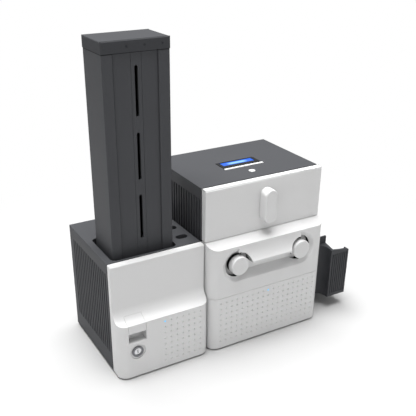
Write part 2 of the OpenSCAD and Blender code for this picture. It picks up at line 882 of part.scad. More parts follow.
module magazine_body() color(magazine_grey) placed() {
    cx0 = mag_cx - cavity_w / 2;
    cx1 = mag_cx + cavity_w / 2;
    cy0 = lane_y - cavity_d / 2;
    cy1 = lane_y + cavity_d / 2;
    fx0 = plate_cx - mag_front_w / 2;
    fx1 = plate_cx + mag_front_w / 2;
    plate_y = cy0 - plate_t - flat_play;
    difference() {
        union() {
            difference() {
                translate([0, 0, mag_z0]) linear_extrude(mag_top - mag_z0)
                    round_rect(mag_x0, mag_y0, mag_x1, mag_y1, mag_corner_r);
                block([cx0, cy0, mag_z0 - cut], [cx1, cy1, mag_top + cut]);
                block([fx0, mag_y0 - cut, mag_z0 + ledge_t], [fx1, cy0 + cut, mag_top + cut]);
                block([fx0 - rebate_w, plate_y, mag_z0 + ledge_t],
                    [fx1 + rebate_w, cy0 + cut, mag_top + cut]);
            }
            difference() {
                block([cx0 - cut, cy0 - cut, mag_z0], [cx1 + cut, cy1 + cut, stack_z]);
                block([cx0 + ledge_in, cy0 + ledge_in, mag_z0 - cut],
                    [cx1 - ledge_in, cy1 - ledge_in, stack_z + cut]);
            }
            for (s = [-1, 1]) translate([mag_cx, 0, 0]) {
                x0 = s * (cap_knuckle_w / 2 + flat_play + knuckle_w / 2) - knuckle_w / 2;
                bar_x(knuckle_y, mag_top, x0, x0 + knuckle_w, knuckle_r);
                block([x0, mag_y1 - cut, mag_top - 2 * knuckle_r], [x0 + knuckle_w, knuckle_y, mag_top]);
            }
        }
        block([cx1 - cut, cy0, stack_z], [mag_x1 + cut, cy1, stack_z + gate_h]);
        bar_x(knuckle_y, mag_top, 0, feeder_w, cap_pin_r + seat_play);
    }
}

module magazine_front() color(magazine_grey) placed() {
    y1 = lane_y - cavity_d / 2;
    y0 = y1 - plate_t;
    half = mag_front_w / 2 + rebate_w - flat_play;
    difference() {
        block([plate_cx - half, y0, stack_z + flat_play], [plate_cx + half, y1, mag_top - flat_play]);
        for (i = [0:2]) {
            z = mag_top - sight_drop - sight_l / 2 - i * sight_pitch;
            for (s = [-1, 1]) bar_y(mag_cx, z + s * (sight_l - sight_w) / 2, y0 - cut, y1 + cut, sight_w / 2);
            block([mag_cx - sight_w / 2, y0 - cut, z - (sight_l - sight_w) / 2],
                [mag_cx + sight_w / 2, y1 + cut, z + (sight_l - sight_w) / 2]);
        }
        for (s = [-1, 1]) block([mag_cx + s * groove_out - groove / 2, y0 - cut, 0],
            [mag_cx + s * groove_out + groove / 2, y0 + groove, mag_top + cut]);
    }
}

module magazine_cap() color(magazine_grey) placed() {
    x0 = mag_x0 - cap_over;
    x1 = mag_x1 + cap_over;
    y0 = mag_y0 - cap_over;
    y1 = mag_y1 + cap_over;
    z0 = mag_top + flat_play;
    z1 = path_z + mag_h;
    rx = cavity_w / 2 - end_play;
    ry = cavity_d / 2 - end_play;
    difference() {
        union() {
            difference() {
                translate([0, 0, z0]) linear_extrude(z1 - z0) round_rect(x0, y0, x1, y1, mag_corner_r);
                block([mag_cx - rx + cap_wall, lane_y - ry + cap_wall, z0 - cut],
                    [mag_cx + rx - cap_wall, lane_y + ry - cap_wall, z1 - cap_wall]);
            }
            difference() {
                block([mag_cx - rx, lane_y - ry, z0 - cap_lip], [mag_cx + rx, lane_y + ry, z0 + cap_wall]);
                block([mag_cx - rx + cap_wall, lane_y - ry + cap_wall, z0 - cap_lip - cut],
                    [mag_cx + rx - cap_wall, lane_y + ry - cap_wall, z0 + cap_wall + cut]);
            }
            bar_x(knuckle_y, mag_top, mag_cx - cap_knuckle_w / 2, mag_cx + cap_knuckle_w / 2, knuckle_r);
            block([mag_cx - cap_knuckle_w / 2, y1 - cut, z0],
                [mag_cx + cap_knuckle_w / 2, knuckle_y, mag_top + knuckle_r]);
        }
        bar_x(knuckle_y, mag_top, 0, feeder_w, cap_pin_r + turn_play);
        for (i = [0:2]) bar_y(screw_x(i), screw_z, y0 - cut, y0 + screw_l, screw_r);
        for (i = [0:2]) bar_y(screw_x(i), screw_z, y0 - cut, y0 + screw_head, screw_head_r + flat_play);
    }
}

// places of the cap's three screws
function screw_x(i) = mag_x1 - screw_side - i * screw_pitch;

module cap_screws() color(inner_black) placed() for (i = [0:2]) {
    y0 = mag_y0 - cap_over;
    bar_y(screw_x(i), screw_z, y0 + move_play, y0 + screw_head, screw_head_r);
    bar_y(screw_x(i), screw_z, y0 + screw_head / 2, y0 + screw_l, screw_r - seat_play);
}

module cap_hinge_pin() color(steel) placed()
    bar_x(knuckle_y, mag_top, mag_cx - cap_knuckle_w / 2 - flat_play - knuckle_w,
        mag_cx + cap_knuckle_w / 2 + flat_play + knuckle_w, cap_pin_r);

module card_stack() color(card_white) placed()
    block([mag_cx - card_l / 2, lane_y - card_w / 2, stack_z],
        [mag_cx + card_l / 2, lane_y + card_w / 2, stack_z + stack_h]);

module card_weight() color(inner_black) placed() {
    z0 = stack_z + stack_h + flat_play;
    block([mag_cx - card_l / 2, lane_y - card_w / 2, z0],
        [mag_cx + card_l / 2, lane_y + card_w / 2, z0 + weight_t]);
    block([mag_cx - card_l / 4, lane_y - card_w / 6, z0 + weight_t - cut],
        [mag_cx + card_l / 4, lane_y + card_w / 6, z0 + grip_h]);
}

// Printing unit: frame and casing

module printer_base() color(steel) placed() {
    x0 = px0 + casing_t + flat_play;
    x1 = px1 - casing_t - flat_play;
    tongue_y0 = tray_y + 3 * foot_inset;
    tongue_y1 = tongue_y0 + foot_inset;
    difference() {
        union() {
            block([x0, tray_y, foot_gap], [x1, tray_back, foot_gap + tray_t]);
            block([x0, tray_y + bulk_t, foot_gap], [x0 + tray_t, tray_back, foot_gap + flange_h]);
            block([x1 - tray_t, tray_y + bulk_t, foot_gap], [x1, tray_back, foot_gap + flange_h]);
            // tongue that joins both units, under the feeder's tray
            block([px0 - arm_inset, tongue_y0, foot_gap - tray_t], [x0 + foot_inset, tongue_y1, foot_gap]);
        }
        feet_at(x0, x1) bar_z(0, 0, 0, foot_gap + tray_t + cut, foot_plug_r + seat_play);
    }
}

module printer_casing() color(casing_grey) placed() difference() {
    block([px0, casing_y, foot_gap], [px1, rear_y, printer_top]);
    block([px0 + casing_t, -cut, 0], [px1 - casing_t, rear_y + cut, printer_top - casing_t]);
    for (x = [px0, px1 - casing_t])
        vents(x, x + casing_t, vent_y0, rear_y - vent_back, path_z + printer_vent_z, printer_top - vent_top);
    card_slit(px0, px0 + casing_t);
    card_slit(px1 - casing_t, px1);
    top_cut(pcx - bezel_w / 2 + bezel_flange, bezel_y - bezel_d / 2 + bezel_flange,
        pcx + bezel_w / 2 - bezel_flange, bezel_y + bezel_d / 2 - bezel_flange);
    top_cut(pcx - key_row / 2 - key_play, key_y - key_d / 2 - key_play,
        pcx + key_row / 2 + key_play, key_y + key_d / 2 + key_play);
    bar_z(pcx, button_y, printer_top - 2 * casing_t, printer_top + cut, button_r + key_play);
    for (y = hook_y) block([px1 - casing_t - cut, y, hook_z], [px1 + cut, y + hook_w, hook_z + hook_h]);
}

module top_cut(x0, y0, x1, y1) block([x0, y0, printer_top - 2 * casing_t], [x1, y1, printer_top + cut]);

module rear_panel() color(steel) placed() {
    x0 = px0 + casing_t + flat_play;
    x1 = px1 - casing_t - flat_play;
    z0 = foot_gap + tray_t;
    z1 = printer_top - casing_t - flat_play;
    difference() {
        block([x0, rear_panel_y, z0], [x1, rear_panel_y + rear_t, z1]);
        block([inlet_x - inlet_w / 2, rear_panel_y - cut, inlet_z - inlet_h / 2],
            [inlet_x + inlet_w / 2, rear_y + cut, inlet_z + inlet_h / 2]);
        block([inlet_x - switch_w / 2, rear_panel_y - cut, switch_z - switch_h / 2],
            [inlet_x + switch_w / 2, rear_y + cut, switch_z + switch_h / 2]);
        for (i = [0:1]) block([port_x + i * port_pitch, rear_panel_y - cut, board_z + board_t],
            [port_x + i * port_pitch + port_w, rear_y + cut, board_z + board_t + port_h]);
        for (i = [0:rear_vents - 1]) {
            z = rear_vent_z + i * vent_pitch;
            block([pcx - bridge_w, rear_panel_y - cut, z], [pcx + bridge_w, rear_y + cut, z + vent_w]);
        }
    }
}

// slot of the drawer in the front bulkhead
module drawer_way() {
    up = rail_z0 - move_play;
    half = knob_span / 2 + rail_x + rail_t + move_play;
    low = rod_z - rod_r - rod_wall - move_play;
    top = knob_z + film_r + way_top;
    translate([pcx - half, up]) square([2 * half, top - up]);
    translate([pcx - rod_x - way_side, low]) square([2 * (rod_x + way_side), top - low]);
    for (x = [knob_x0, knob_x1])
        translate([x - way_roll, knob_z - film_r - end_play]) square([2 * way_roll, film_r]);
}

module shaft_bores(y0, y1) for (x = [entry_x, pcx, exit_x]) {
    bar_y(x, roller_z, y0 - cut, y1 + cut, shaft_r + turn_play);
    if (x != pcx) bar_y(x, pinch_z, y0 - cut, y1 + cut, pinch_pin_r + turn_play);
}

module front_bulkhead() color(steel) placed() {
    x0 = px0 + casing_t + flat_play;
    x1 = px1 - casing_t - flat_play;
    z0 = foot_gap + tray_t;
    z1 = printer_top - casing_t - flat_play;
    difference() {
        union() {
            block([x0, bulk_y, z0], [x1, bulk_y + bulk_t, z1]);
            for (x = [px0 + hinge_inset, px1 - hinge_inset - arm_w]) {
                block([x, hinge_y - small_eye_r, hinge_z - bracket_h],
                    [x + arm_w, hinge_y + small_eye_r, hinge_z]);
                block([x, hinge_y - small_eye_r, hinge_z - bracket_h],
                    [x + arm_w, bulk_y + cut, hinge_z - bracket_h + bracket_t]);
                bar_x(hinge_y, hinge_z, x, x + arm_w, small_eye_r);
            }
        }
        along_y(bulk_y - cut, bulk_y + bulk_t + cut) drawer_way();
        block([px0 + 2 * hinge_inset, bulk_y - cut, bridge_z + 3 * bridge_t],
            [px1 - 2 * hinge_inset, bulk_y + bulk_t + cut, z1 - bracket_h]);
        shaft_bores(bulk_y, bulk_y + bulk_t);
        bar_x(hinge_y, hinge_z, px0, px1, small_pin_r + seat_play);
    }
}

// rear bulkhead with the shelf that carries the print head's posts
module rear_bulkhead() color(steel) placed() {
    x0 = px0 + casing_t + flat_play + tray_t;
    x1 = px1 - casing_t - flat_play - tray_t;
    difference() {
        union() {
            block([x0, rear_bulk_y, foot_gap + tray_t],
                [x1, rear_bulk_y + bulk_t, printer_top - casing_t - flat_play]);
            block([pcx - bridge_w / 2, bulk_y + bulk_t, bridge_z],
                [pcx + bridge_w / 2, rear_bulk_y + cut, bridge_z + bridge_t]);
        }
        block([px0 + hinge_inset, rear_bulk_y - cut, foot_gap + flange_h],
            [px1 - hinge_inset, rear_bulk_y + bulk_t + cut, path_z - motor_w]);
        shaft_bores(rear_bulk_y, rear_bulk_y + bulk_t);
        for (s = [-1, 1])
            bar_z(pcx, lane_y + s * post_y, bridge_z - cut, bridge_z + bridge_t + cut, post_r + turn_play);
    }
}

module print_head() color(inner_black) placed() {
    z1 = head_z0 + head_h;
    y0 = lane_y0 - head_over;
    y1 = lane_y1 + head_over;
    difference() {
        union() {
            block([pcx - head_w / 2, y0, head_z0 + head_edge_h], [pcx + head_w / 2, y1, z1]);
            block([pcx - head_edge_w / 2, y0, head_z0],
                [pcx + head_edge_w / 2, y1, head_z0 + head_edge_h + cut]);
            for (s = [-1, 1])
                bar_z(pcx, lane_y + s * post_y, z1 - cut, bridge_z + bridge_t + post_over, post_r);
        }
        for (i = [0:fins - 1], s = [-1, 1]) {
            z = head_z0 + head_edge_h + fin_up + i * 2 * fin;
            block([pcx + s * head_w / 2 - fin, y0 - cut, z], [pcx + s * head_w / 2 + fin, y1 + cut, z + fin]);
        }
    }
}

// Rollers, belt and motor

module lane_roller(x) {
    bar_y(x, roller_z, lane_y0, lane_y1, roller_r);
    bar_y(x, roller_z, bulk_y - shaft_out, pulley_y + pulley_t, shaft_r);
    bar_y(x, roller_z, pulley_y, pulley_y + pulley_t, pulley_r);
}

module platen_roller() color(inner_black) placed() lane_roller(pcx);
module entry_roller() color(inner_black) placed() lane_roller(entry_x);
module exit_roller() color(inner_black) placed() lane_roller(exit_x);

module pinch_roller(x) {
    bar_y(x, pinch_z, lane_y0, lane_y1, pinch_r);
    bar_y(x, pinch_z, bulk_y - shaft_out, rear_bulk_y + bulk_t + shaft_out, pinch_pin_r);
}

module entry_pinch() color(inner_black) placed() pinch_roller(entry_x);
module exit_pinch() color(inner_black) placed() pinch_roller(exit_x);

// loop outline round the row of pulleys
module belt_loop(r) {
    for (x = [entry_x, exit_x]) translate([x, roller_z]) circle(r);
    translate([entry_x, roller_z - r]) square([exit_x - entry_x, 2 * r]);
}

module drive_belt() color(inner_black) placed() {
    y0 = pulley_y + (pulley_t - belt_w) / 2;
    difference() {
        along_y(y0, y0 + belt_w) belt_loop(pulley_r + move_play + belt_t);
        along_y(y0 - cut, y0 + belt_w + cut) belt_loop(pulley_r + move_play);
    }
}

module motor_pulley() color(steel) placed() {
    bar_y(motor_x, roller_z, pulley_y, pulley_y + pulley_t, pulley_r);
    bar_y(motor_x, roller_z, pulley_y, motor_y + shaft_in, motor_shaft_r);
}

module drive_motor() color(inner_black) placed() difference() {
    union() {
        block([motor_x - motor_w / 2, motor_y, roller_z - motor_w / 2],
            [motor_x + motor_w / 2, motor_y + motor_l, roller_z + motor_w / 2]);
        for (sx = [-1, 1], sz = [-1, 1])
            bar_y(motor_x + sx * (motor_w / 2 - standoff_in), roller_z + sz * (motor_w / 2 - standoff_in),
                rear_bulk_y + bulk_t, motor_y + cut, standoff_r);
    }
    bar_y(motor_x, roller_z, motor_y - cut, motor_y + shaft_in + end_play, motor_shaft_r + turn_play);
}

// Silver fronts of the printing unit

module lower_cover() color(silver) placed() {
    z1 = foot_gap + cover_h - seam / 2;
    difference() {
        union() {
            difference() {
                translate([0, 0, foot_gap]) linear_extrude(z1 - foot_gap) front_plan(px0, px1, 0, front_back);
                translate([0, 0, foot_gap - cut]) linear_extrude(z1 - foot_gap - front_t + cut)
                    front_plan(px0, px1, front_t, front_back + cut);
            }
            for (x = [px0 + hinge_inset, px1 - hinge_inset], z = [foot_gap + hinge_inset, z1 - hinge_inset])
                bar_y(x, z, skin, bulk_y, boss_r);
        }
        bar_y(pcx, cover_led_z, -cut, front_t + cut, led_r + seat_play);
    }
}

module cover_led() color(lamp_blue) placed() bar_y(pcx, cover_led_z, 0, led_l, led_r);

module upper_door() color(silver) placed() {
    z0 = face_z1 + seam;
    difference() {
        union() {
            difference() {
                block([px0, panel_y, z0], [px1, front_back, printer_top]);
                block([px0 + front_t, panel_y + front_t, z0 - cut],
                    [px1 - front_t, front_back + cut, printer_top - top_wall]);
            }
            for (x = [px0 + hinge_inset - lug_w - lug_gap, px1 - hinge_inset + lug_gap]) {
                bar_x(hinge_y, hinge_z, x, x + lug_w, small_eye_r);
                block([x, hinge_y - small_eye_r, hinge_z],
                    [x + lug_w, hinge_y + small_eye_r, printer_top - top_wall / 2]);
            }
        }
        edge_bevel(px0, px1, panel_y, printer_top);
        along_x(px0 - cut, px1 + cut) polygon([[front_back - rear_chamfer, printer_top + flat_play],
            [front_back + flat_play, printer_top + flat_play],
            [front_back + flat_play, printer_top - rear_chamfer]]);
        bar_x(hinge_y, hinge_z, px0 + front_t, px1 - front_t, small_pin_r + turn_play);
        bar_y(pcx, handle_z, panel_y - cut, panel_y + front_t + cut, handle_shaft_r + turn_play);
    }
}

// outline of the turning handle in (x, z), drawn in by t
module pill(t) {
    r = handle_w / 2 - t;
    for (s = [-1, 1]) translate([pcx, handle_z + s * (handle_l - handle_w) / 2]) circle(r);
    translate([pcx - r, handle_z - (handle_l - handle_w) / 2]) square([2 * r, handle_l - handle_w]);
}

module turn_handle() color(silver) placed() {
    along_y(panel_y - handle_out, panel_y - move_play) pill(0);
    bar_y(pcx, handle_z, panel_y - cut, panel_y + front_t + move_play + cam_t, handle_shaft_r);
    bar_y(pcx, handle_z, panel_y + front_t + move_play, panel_y + front_t + move_play + cam_t, cam_r);
}

// base space of the drawer front, drawn in by t
module drawer_space(t) intersection() {
    z0 = face_z0 - (t > 0 ? cut : 0);
    back = front_back + (t > 0 ? cut : 0);
    along_x(px0 + t, px1 - t)
        polygon([[t, z0], [t, face_edge - t], [panel_y + t, face_z1 - t], [back, face_z1 - t], [back, z0]]);
    linear_extrude(printer_top) front_plan(px0, px1, t, front_back + cut);
}

// hollows of the drawer front, grown by t: the dish, two knob pockets and the slot under the lip
module drawer_hollows(t) {
    rim = dish_r + t + cut * dish_slope / dish;
    floor_r = dish_r + t - dish_slope;
    deep = dish + t;
    for (x = [knob_x0, knob_x1]) translate([x, -cut, knob_z]) rotate([-90, 0, 0])
        cylinder(h = deep + cut, r1 = rim, r2 = floor_r);
    along_x(knob_x0, knob_x1) polygon([[-cut, knob_z - rim], [deep, knob_z - floor_r],
        [deep, knob_z + floor_r], [-cut, knob_z + rim]]);
    for (x = [knob_x0, knob_x1]) bar_y(x, knob_z, -cut, pocket + t, pocket_r + t);
    along_x(knob_x0, knob_x1) polygon([[0, lip_z + t], [0, knob_z - slot_mouth - t],
        [slot_depth + t, knob_z - slot_floor - t], [slot_depth + t, lip_z + t]]);
}

module drawer_front() color(silver) placed() difference() {
    union() {
        difference() {
            drawer_space(0);
            difference() {
                drawer_space(front_t);
                drawer_hollows(front_t);
            }
            drawer_hollows(0);
        }
        // curved hood between the knobs, ending in the pull lip
        difference() {
            along_x(knob_x0, knob_x1) difference() {
                translate([-lip_out, lip_z]) square([lip_out + dish + skin, hood_z - lip_z]);
                translate([-hood_r, hood_z]) circle(hood_r);
            }
            for (x = [knob_x0, knob_x1]) bar_y(x, knob_z, -lip_out - cut, pocket, pocket_r);
        }
    }
    for (x = [knob_x0, knob_x1]) bar_y(x, knob_z, pocket - cut, pocket + front_t + cut,
        spindle_r + turn_play);
}

// Ribbon drawer behind its front

module drawer_frame() color(inner_black) placed() {
    y0 = front_back;
    y1 = y0 + frame_t;
    back = carrier_y0 + carrier_t;
    side = knob_span / 2 + rail_x;
    wide = side + rail_t + frame_side;
    top = knob_z + film_r + frame_top;
    low = rod_z - rod_r - rod_wall;
    arm_z = rod_z + rod_r + rod_over;
    difference() {
        union() {
            block([pcx - wide, y0, low], [pcx + wide, y1, top]);
            for (s = [-1, 1]) translate([pcx, 0, 0]) {
                outer = s * (side + rail_t / 2);
                inner = s * (inner_x + rail_t / 2);
                block([outer - rail_t / 2, y0, rail_z0], [outer + rail_t / 2, back, rail_z0 + rail_h]);
                block([inner - rail_t / 2, y1 - cut, arm_z], [inner + rail_t / 2, back, arm_z + rail_h]);
                block([min(outer, inner) - rail_t / 2, carrier_y0, rail_z0],
                    [max(outer, inner) + rail_t / 2, back, top]);
                block([s * rod_x - rod_foot, carrier_y0, low],
                    [s * rod_x + rod_foot, back, rail_z0 + rail_t]);
                bar_y(s * rod_x, rod_z, y0, back, rod_r);
            }
        }
        for (x = [knob_x0, knob_x1]) {
            bar_y(x, knob_z, y0 - cut, y1 + cut, spindle_r + turn_play);
            bar_y(x, knob_z, carrier_y0 - cut, carrier_y0 + carrier_t + cut, spindle_tip_r + turn_play);
        }
    }
}

module drawer_runners() color(steel) placed() for (s = [-1, 1]) translate([pcx, 0, 0]) {
    y0 = bulk_y + bulk_t;
    in = knob_span / 2 + rail_x;
    out = in + rail_t + move_play;
    z0 = rail_z0 - move_play - runner_t;
    end = s * (out + runner_t);
    block([min(s * in, end), y0, z0], [max(s * in, end), rear_bulk_y, z0 + runner_t]);
    block([min(s * out, end), y0, z0], [max(s * out, end), rear_bulk_y, rail_z0 + rail_h]);
}

module knob(x) {
    bar_y(x, knob_z, -knob_out, knob_back, knob_r);
    bar_y(x, knob_z, knob_back - cut, carrier_y0 - move_play, spindle_r);
    bar_y(x, knob_z, carrier_y0 - 2 * move_play, carrier_y0 + carrier_t + shaft_out, spindle_tip_r);
}

module left_knob() color(silver) placed() knob(knob_x0);
module right_knob() color(silver) placed() knob(knob_x1);

module core(x) difference() {
    union() {
        bar_y(x, knob_z, core_y0, core_y1, core_r);
        for (y = [core_y0, core_y1 - core_flange_t]) bar_y(x, knob_z, y, y + core_flange_t,
            core_r + core_flange);
    }
    bar_y(x, knob_z, core_y0 - cut, core_y1 + cut, spindle_r + seat_play);
}

module supply_core() color(card_white) placed() core(knob_x0);
module takeup_core() color(card_white) placed() core(knob_x1);

module supply_film() color(inner_black) placed() difference() {
    bar_y(knob_x0, knob_z, web_y0, web_y1, film_r);
    bar_y(knob_x0, knob_z, web_y0 - cut, web_y1 + cut, core_r + seat_play);
}

// the ribbon runs from the full roll under two rods to the empty core
module ribbon_web() color(inner_black) placed() {
    low = rod_z - rod_r;
    for (s = [-1, 1]) {
        r = (s < 0 ? film_r : core_r) + web_t + flat_play / 2 + move_play;
        dx = knob_span / 2 - rod_x;
        dz = knob_z - rod_z;
        reach = sqrt(dx * dx + dz * dz);
        away = atan2(dz, dx) + asin((r + rod_r) / reach);
        run = sqrt(reach * reach - (r + rod_r) * (r + rod_r));
        translate([pcx + s * rod_x, web_y0, rod_z]) mirror([s < 0 ? 1 : 0, 0, 0]) rotate([0, -away, 0])
            translate([0, 0, -rod_r - flat_play / 2 - web_t]) cube([run, web_y1 - web_y0, web_t]);
    }
    block([pcx - rod_x, web_y0, low - web_t - flat_play / 2],
        [pcx + rod_x, web_y1, low - flat_play / 2]);
}

// Display, keys and button

module display_bezel() color(inner_black) placed() {
    hx = bezel_w / 2;
    hy = bezel_d / 2;
    step = bezel_flange + flat_play;
    difference() {
        union() {
            block([pcx - hx, bezel_y - hy, printer_top], [pcx + hx, bezel_y + hy, printer_top + bezel_up]);
            block([pcx - hx + step, bezel_y - hy + step, printer_top - bezel_down],
                [pcx + hx - step, bezel_y + hy - step, printer_top + bezel_up / 2]);
        }
        block([pcx - lcd_w / 2, lcd_y - lcd_d / 2, printer_top - bezel_down - cut],
            [pcx + lcd_w / 2, lcd_y + lcd_d / 2, printer_top + bezel_up + cut]);
    }
}

module display_panel() color("#2f6fe8") placed()
    block([pcx - lcd_w / 2 + flat_play, lcd_y - lcd_d / 2 + flat_play, printer_top - bezel_down],
        [pcx + lcd_w / 2 - flat_play, lcd_y + lcd_d / 2 - flat_play, printer_top - bezel_down + lcd_t]);

module bar_key(i) {
    x = pcx + (i - 1.5) * key_pitch;
    z0 = printer_top - casing_t - flat_play - key_flange;
    block([x - key_l / 2, key_y - key_d / 2, z0], [x + key_l / 2, key_y + key_d / 2, printer_top + key_up]);
    block([x - key_l / 2, key_y - key_d / 2 - key_lip, z0],
        [x + key_l / 2, key_y + key_d / 2 + key_lip, z0 + key_flange]);
}

module key_1() color(silver) placed() bar_key(0);
module key_2() color(silver) placed() bar_key(1);
module key_3() color(silver) placed() bar_key(2);
module key_4() color(silver) placed() bar_key(3);

module round_button() color(silver) placed() {
    z0 = printer_top - casing_t - flat_play - key_flange;
    dome_r = 2 * button_r;
    rim_r = button_r * button_dish_share;
    sag = dome_r - sqrt(dome_r * dome_r - rim_r * rim_r);
    difference() {
        bar_z(pcx, button_y, z0, printer_top, button_r);
        translate([pcx, button_y, printer_top - sag + dome_r]) sphere(dome_r);
    }
    bar_z(pcx, button_y, z0, z0 + key_flange, button_r + key_lip);
}

// Electrics

module main_board() color("#1f5b3a") placed() {
    x0 = port_x - board_side;
    x1 = px1 - casing_t - board_gap;
    y0 = rear_bulk_y + bulk_t + board_gap;
    y1 = rear_panel_y - flat_play;
    top = board_z + board_t;
    block([x0, y0, board_z], [x1, y1, top]);
    for (x = [x0 + board_post, x1 - board_post], y = [y0 + board_post, y1 - board_post])
        bar_z(x, y, foot_gap + tray_t, board_z + board_t / 2, standoff_r);
    for (x = [port_x, port_x + port_pitch])
        block([x + flat_play, y1 - port_l, top],
            [x + port_w - flat_play, rear_y - flat_play, top + port_h - flat_play]);
    block([x0 + chip_x, y0 + board_post, board_z],
        [x0 + chip_x + chip_w, y0 + board_post + chip_w, top + chip_t]);
}

module power_supply() color(steel) placed()
    block([px0 + supply_x, tray_y + supply_y, foot_gap + tray_t],
        [pcx + supply_over, rear_bulk_y - supply_gap, foot_gap + tray_t + supply_h]);

module power_inlet() color(inner_black) placed() {
    hx = inlet_w / 2;
    hz = inlet_h / 2;
    sx = switch_w / 2;
    sz = switch_h / 2;
    front = rear_panel_y - inlet_in;
    difference() {
        union() {
            block([inlet_x - hx + flat_play, front, inlet_z - hz + flat_play],
                [inlet_x + hx - flat_play, rear_y, inlet_z + hz - flat_play]);
            block([inlet_x - hx - plate_side, rear_panel_y + rear_t, inlet_z - hz - plate_rim],
                [inlet_x + hx + plate_side, rear_y + rear_out, switch_z + sz + plate_rim]);
            block([inlet_x - sx + flat_play, rear_panel_y - rocker_in, switch_z - sz + flat_play],
                [inlet_x + sx - flat_play, rear_y, switch_z + sz - flat_play]);
        }
        block([inlet_x - hx + inlet_wall, front + inlet_floor, inlet_z - hz + inlet_wall],
            [inlet_x + hx - inlet_wall, rear_y + rear_out + cut, inlet_z + hz - inlet_wall]);
        bar_x(rocker_y, switch_z, inlet_x - sx + rocker_side, inlet_x + sx - rocker_side,
            rocker_r + move_play);
    }
}

module power_switch() color(inner_black) placed() intersection() {
    half = switch_w / 2 - rocker_side - move_play;
    bar_x(rocker_y, switch_z, inlet_x - half, inlet_x + half, rocker_r);
    block([inlet_x - switch_w, rocker_y - rocker_r, switch_z - rocker_r],
        [inlet_x + switch_w, rear_y + rear_out - flat_play, switch_z + rocker_r]);
}

// Output hopper

module output_hopper() color(hopper_grey) placed() {
    x0 = px1 + flat_play;
    in_x0 = chute_x1 - bin_t;
    back = bin_y1;
    difference() {
        union() {
            // front and side walls, their rim sloping down to the right
            along_y(bin_y0, back) polygon([[bin_x0, bin_z], [bin_x1, bin_z],
                [bin_x1, rim_z - rim_drop], [in_x0, rim_z], [bin_x0, rim_z]]);
            // left wall with a concave sweep from the neck, its rim rising to the neck
            intersection() {
                along_x(bin_x0 - fillet_r, in_x0) polygon([[bin_y0, bin_z], [bin_y0, rim_z],
                    [chute_y0 + cut, rim_z + rim_rise], [chute_y0 + cut, bin_z]]);
                translate([0, 0, bin_z]) linear_extrude(chute_z - bin_z) union() {
                    difference() {
                        translate([bin_x0 - fillet_r, chute_y0 - fillet_r]) square(fillet_r + cut);
                        translate([bin_x0 - fillet_r, chute_y0 - fillet_r]) circle(fillet_r);
                    }
                    translate([bin_x0, bin_y0]) square([in_x0 - bin_x0, chute_y0 - bin_y0 + cut]);
                }
            }
            block([x0, chute_y0, bin_z], [chute_x1, back, chute_z]);
        }
        // card bin
        block([in_x0, bin_y0 + bin_front_t, bin_z + bin_t], [bin_x1 - bin_t, back - bin_t, chute_z + cut]);
        // open chute from the printer's exit, and the hollow under its floor
        block([x0 - cut, chute_y0 + bin_t, path_z - chute_drop], [in_x0 + cut, back - bin_t, chute_z + cut]);
        block([x0 + bin_t, lane_y0 - slit_side, bin_z - cut],
            [in_x0 - bin_t, lane_y1 + slit_side, path_z - chute_drop - bin_t]);
        // right wall and back cut down for taking the cards
        along_x(bin_x1 - bin_t - cut, bin_x1 + cut) polygon([
            [bin_y0 + side_step, rim_z - rim_drop - side_drop], [back + cut, low_z],
            [back + cut, rim_z + cut], [bin_y0 + side_step, rim_z + cut]]);
        block([chute_x1, back - bin_t - cut, low_z], [bin_x1 + cut, back + cut, chute_z]);
        // sunk field with upright ribs
        for (i = [0:rib_count - 1]) block([rib_x0 + i * rib_pitch, bin_y0 - cut, bin_z + rib_low],
            [rib_x0 + i * rib_pitch + rib_w, bin_y0 + rib_sink, rim_z - rim_drop - rib_top]);
    }
    for (y = hook_y) {
        block([px1 - casing_t - hook_t - move_play, y + move_play, hook_z - hook_down],
            [px1 - casing_t - move_play, y + hook_w - move_play, hook_z + hook_h / 2]);
        block([px1 - casing_t - hook_t, y + move_play, hook_z + move_play],
            [x0 + cut, y + hook_w - move_play, hook_z + hook_h / 2]);
    }
}

feeder_base();
feeder_casing();
feeder_lid();
feed_deck();
rubber_feet();
feeder_door();
hinge_pins();
latch_flap();
lock_barrel();
lock_plug();
feeder_led();
pick_roller();
pick_motor();
pick_pinion();
magazine_body();
magazine_front();
magazine_cap();
cap_screws();
cap_hinge_pin();
card_weight();
card_stack();
printer_base();
printer_casing();
rear_panel();
front_bulkhead();
rear_bulkhead();
lower_cover();
cover_led();
upper_door();
turn_handle();
drawer_front();
drawer_frame();
drawer_runners();
left_knob();
right_knob();
supply_core();
supply_film();
takeup_core();
ribbon_web();
display_bezel();
display_panel();
key_1();
key_2();
key_3();
key_4();
round_button();
print_head();
platen_roller();
entry_roller();
exit_roller();
entry_pinch();
exit_pinch();
drive_belt();
drive_motor();
motor_pulley();
main_board();
power_supply();
power_inlet();
power_switch();
output_hopper();
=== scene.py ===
"""Looks of a desktop printer for plastic cards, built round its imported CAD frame. Metres, +Z up."""
import json
import math

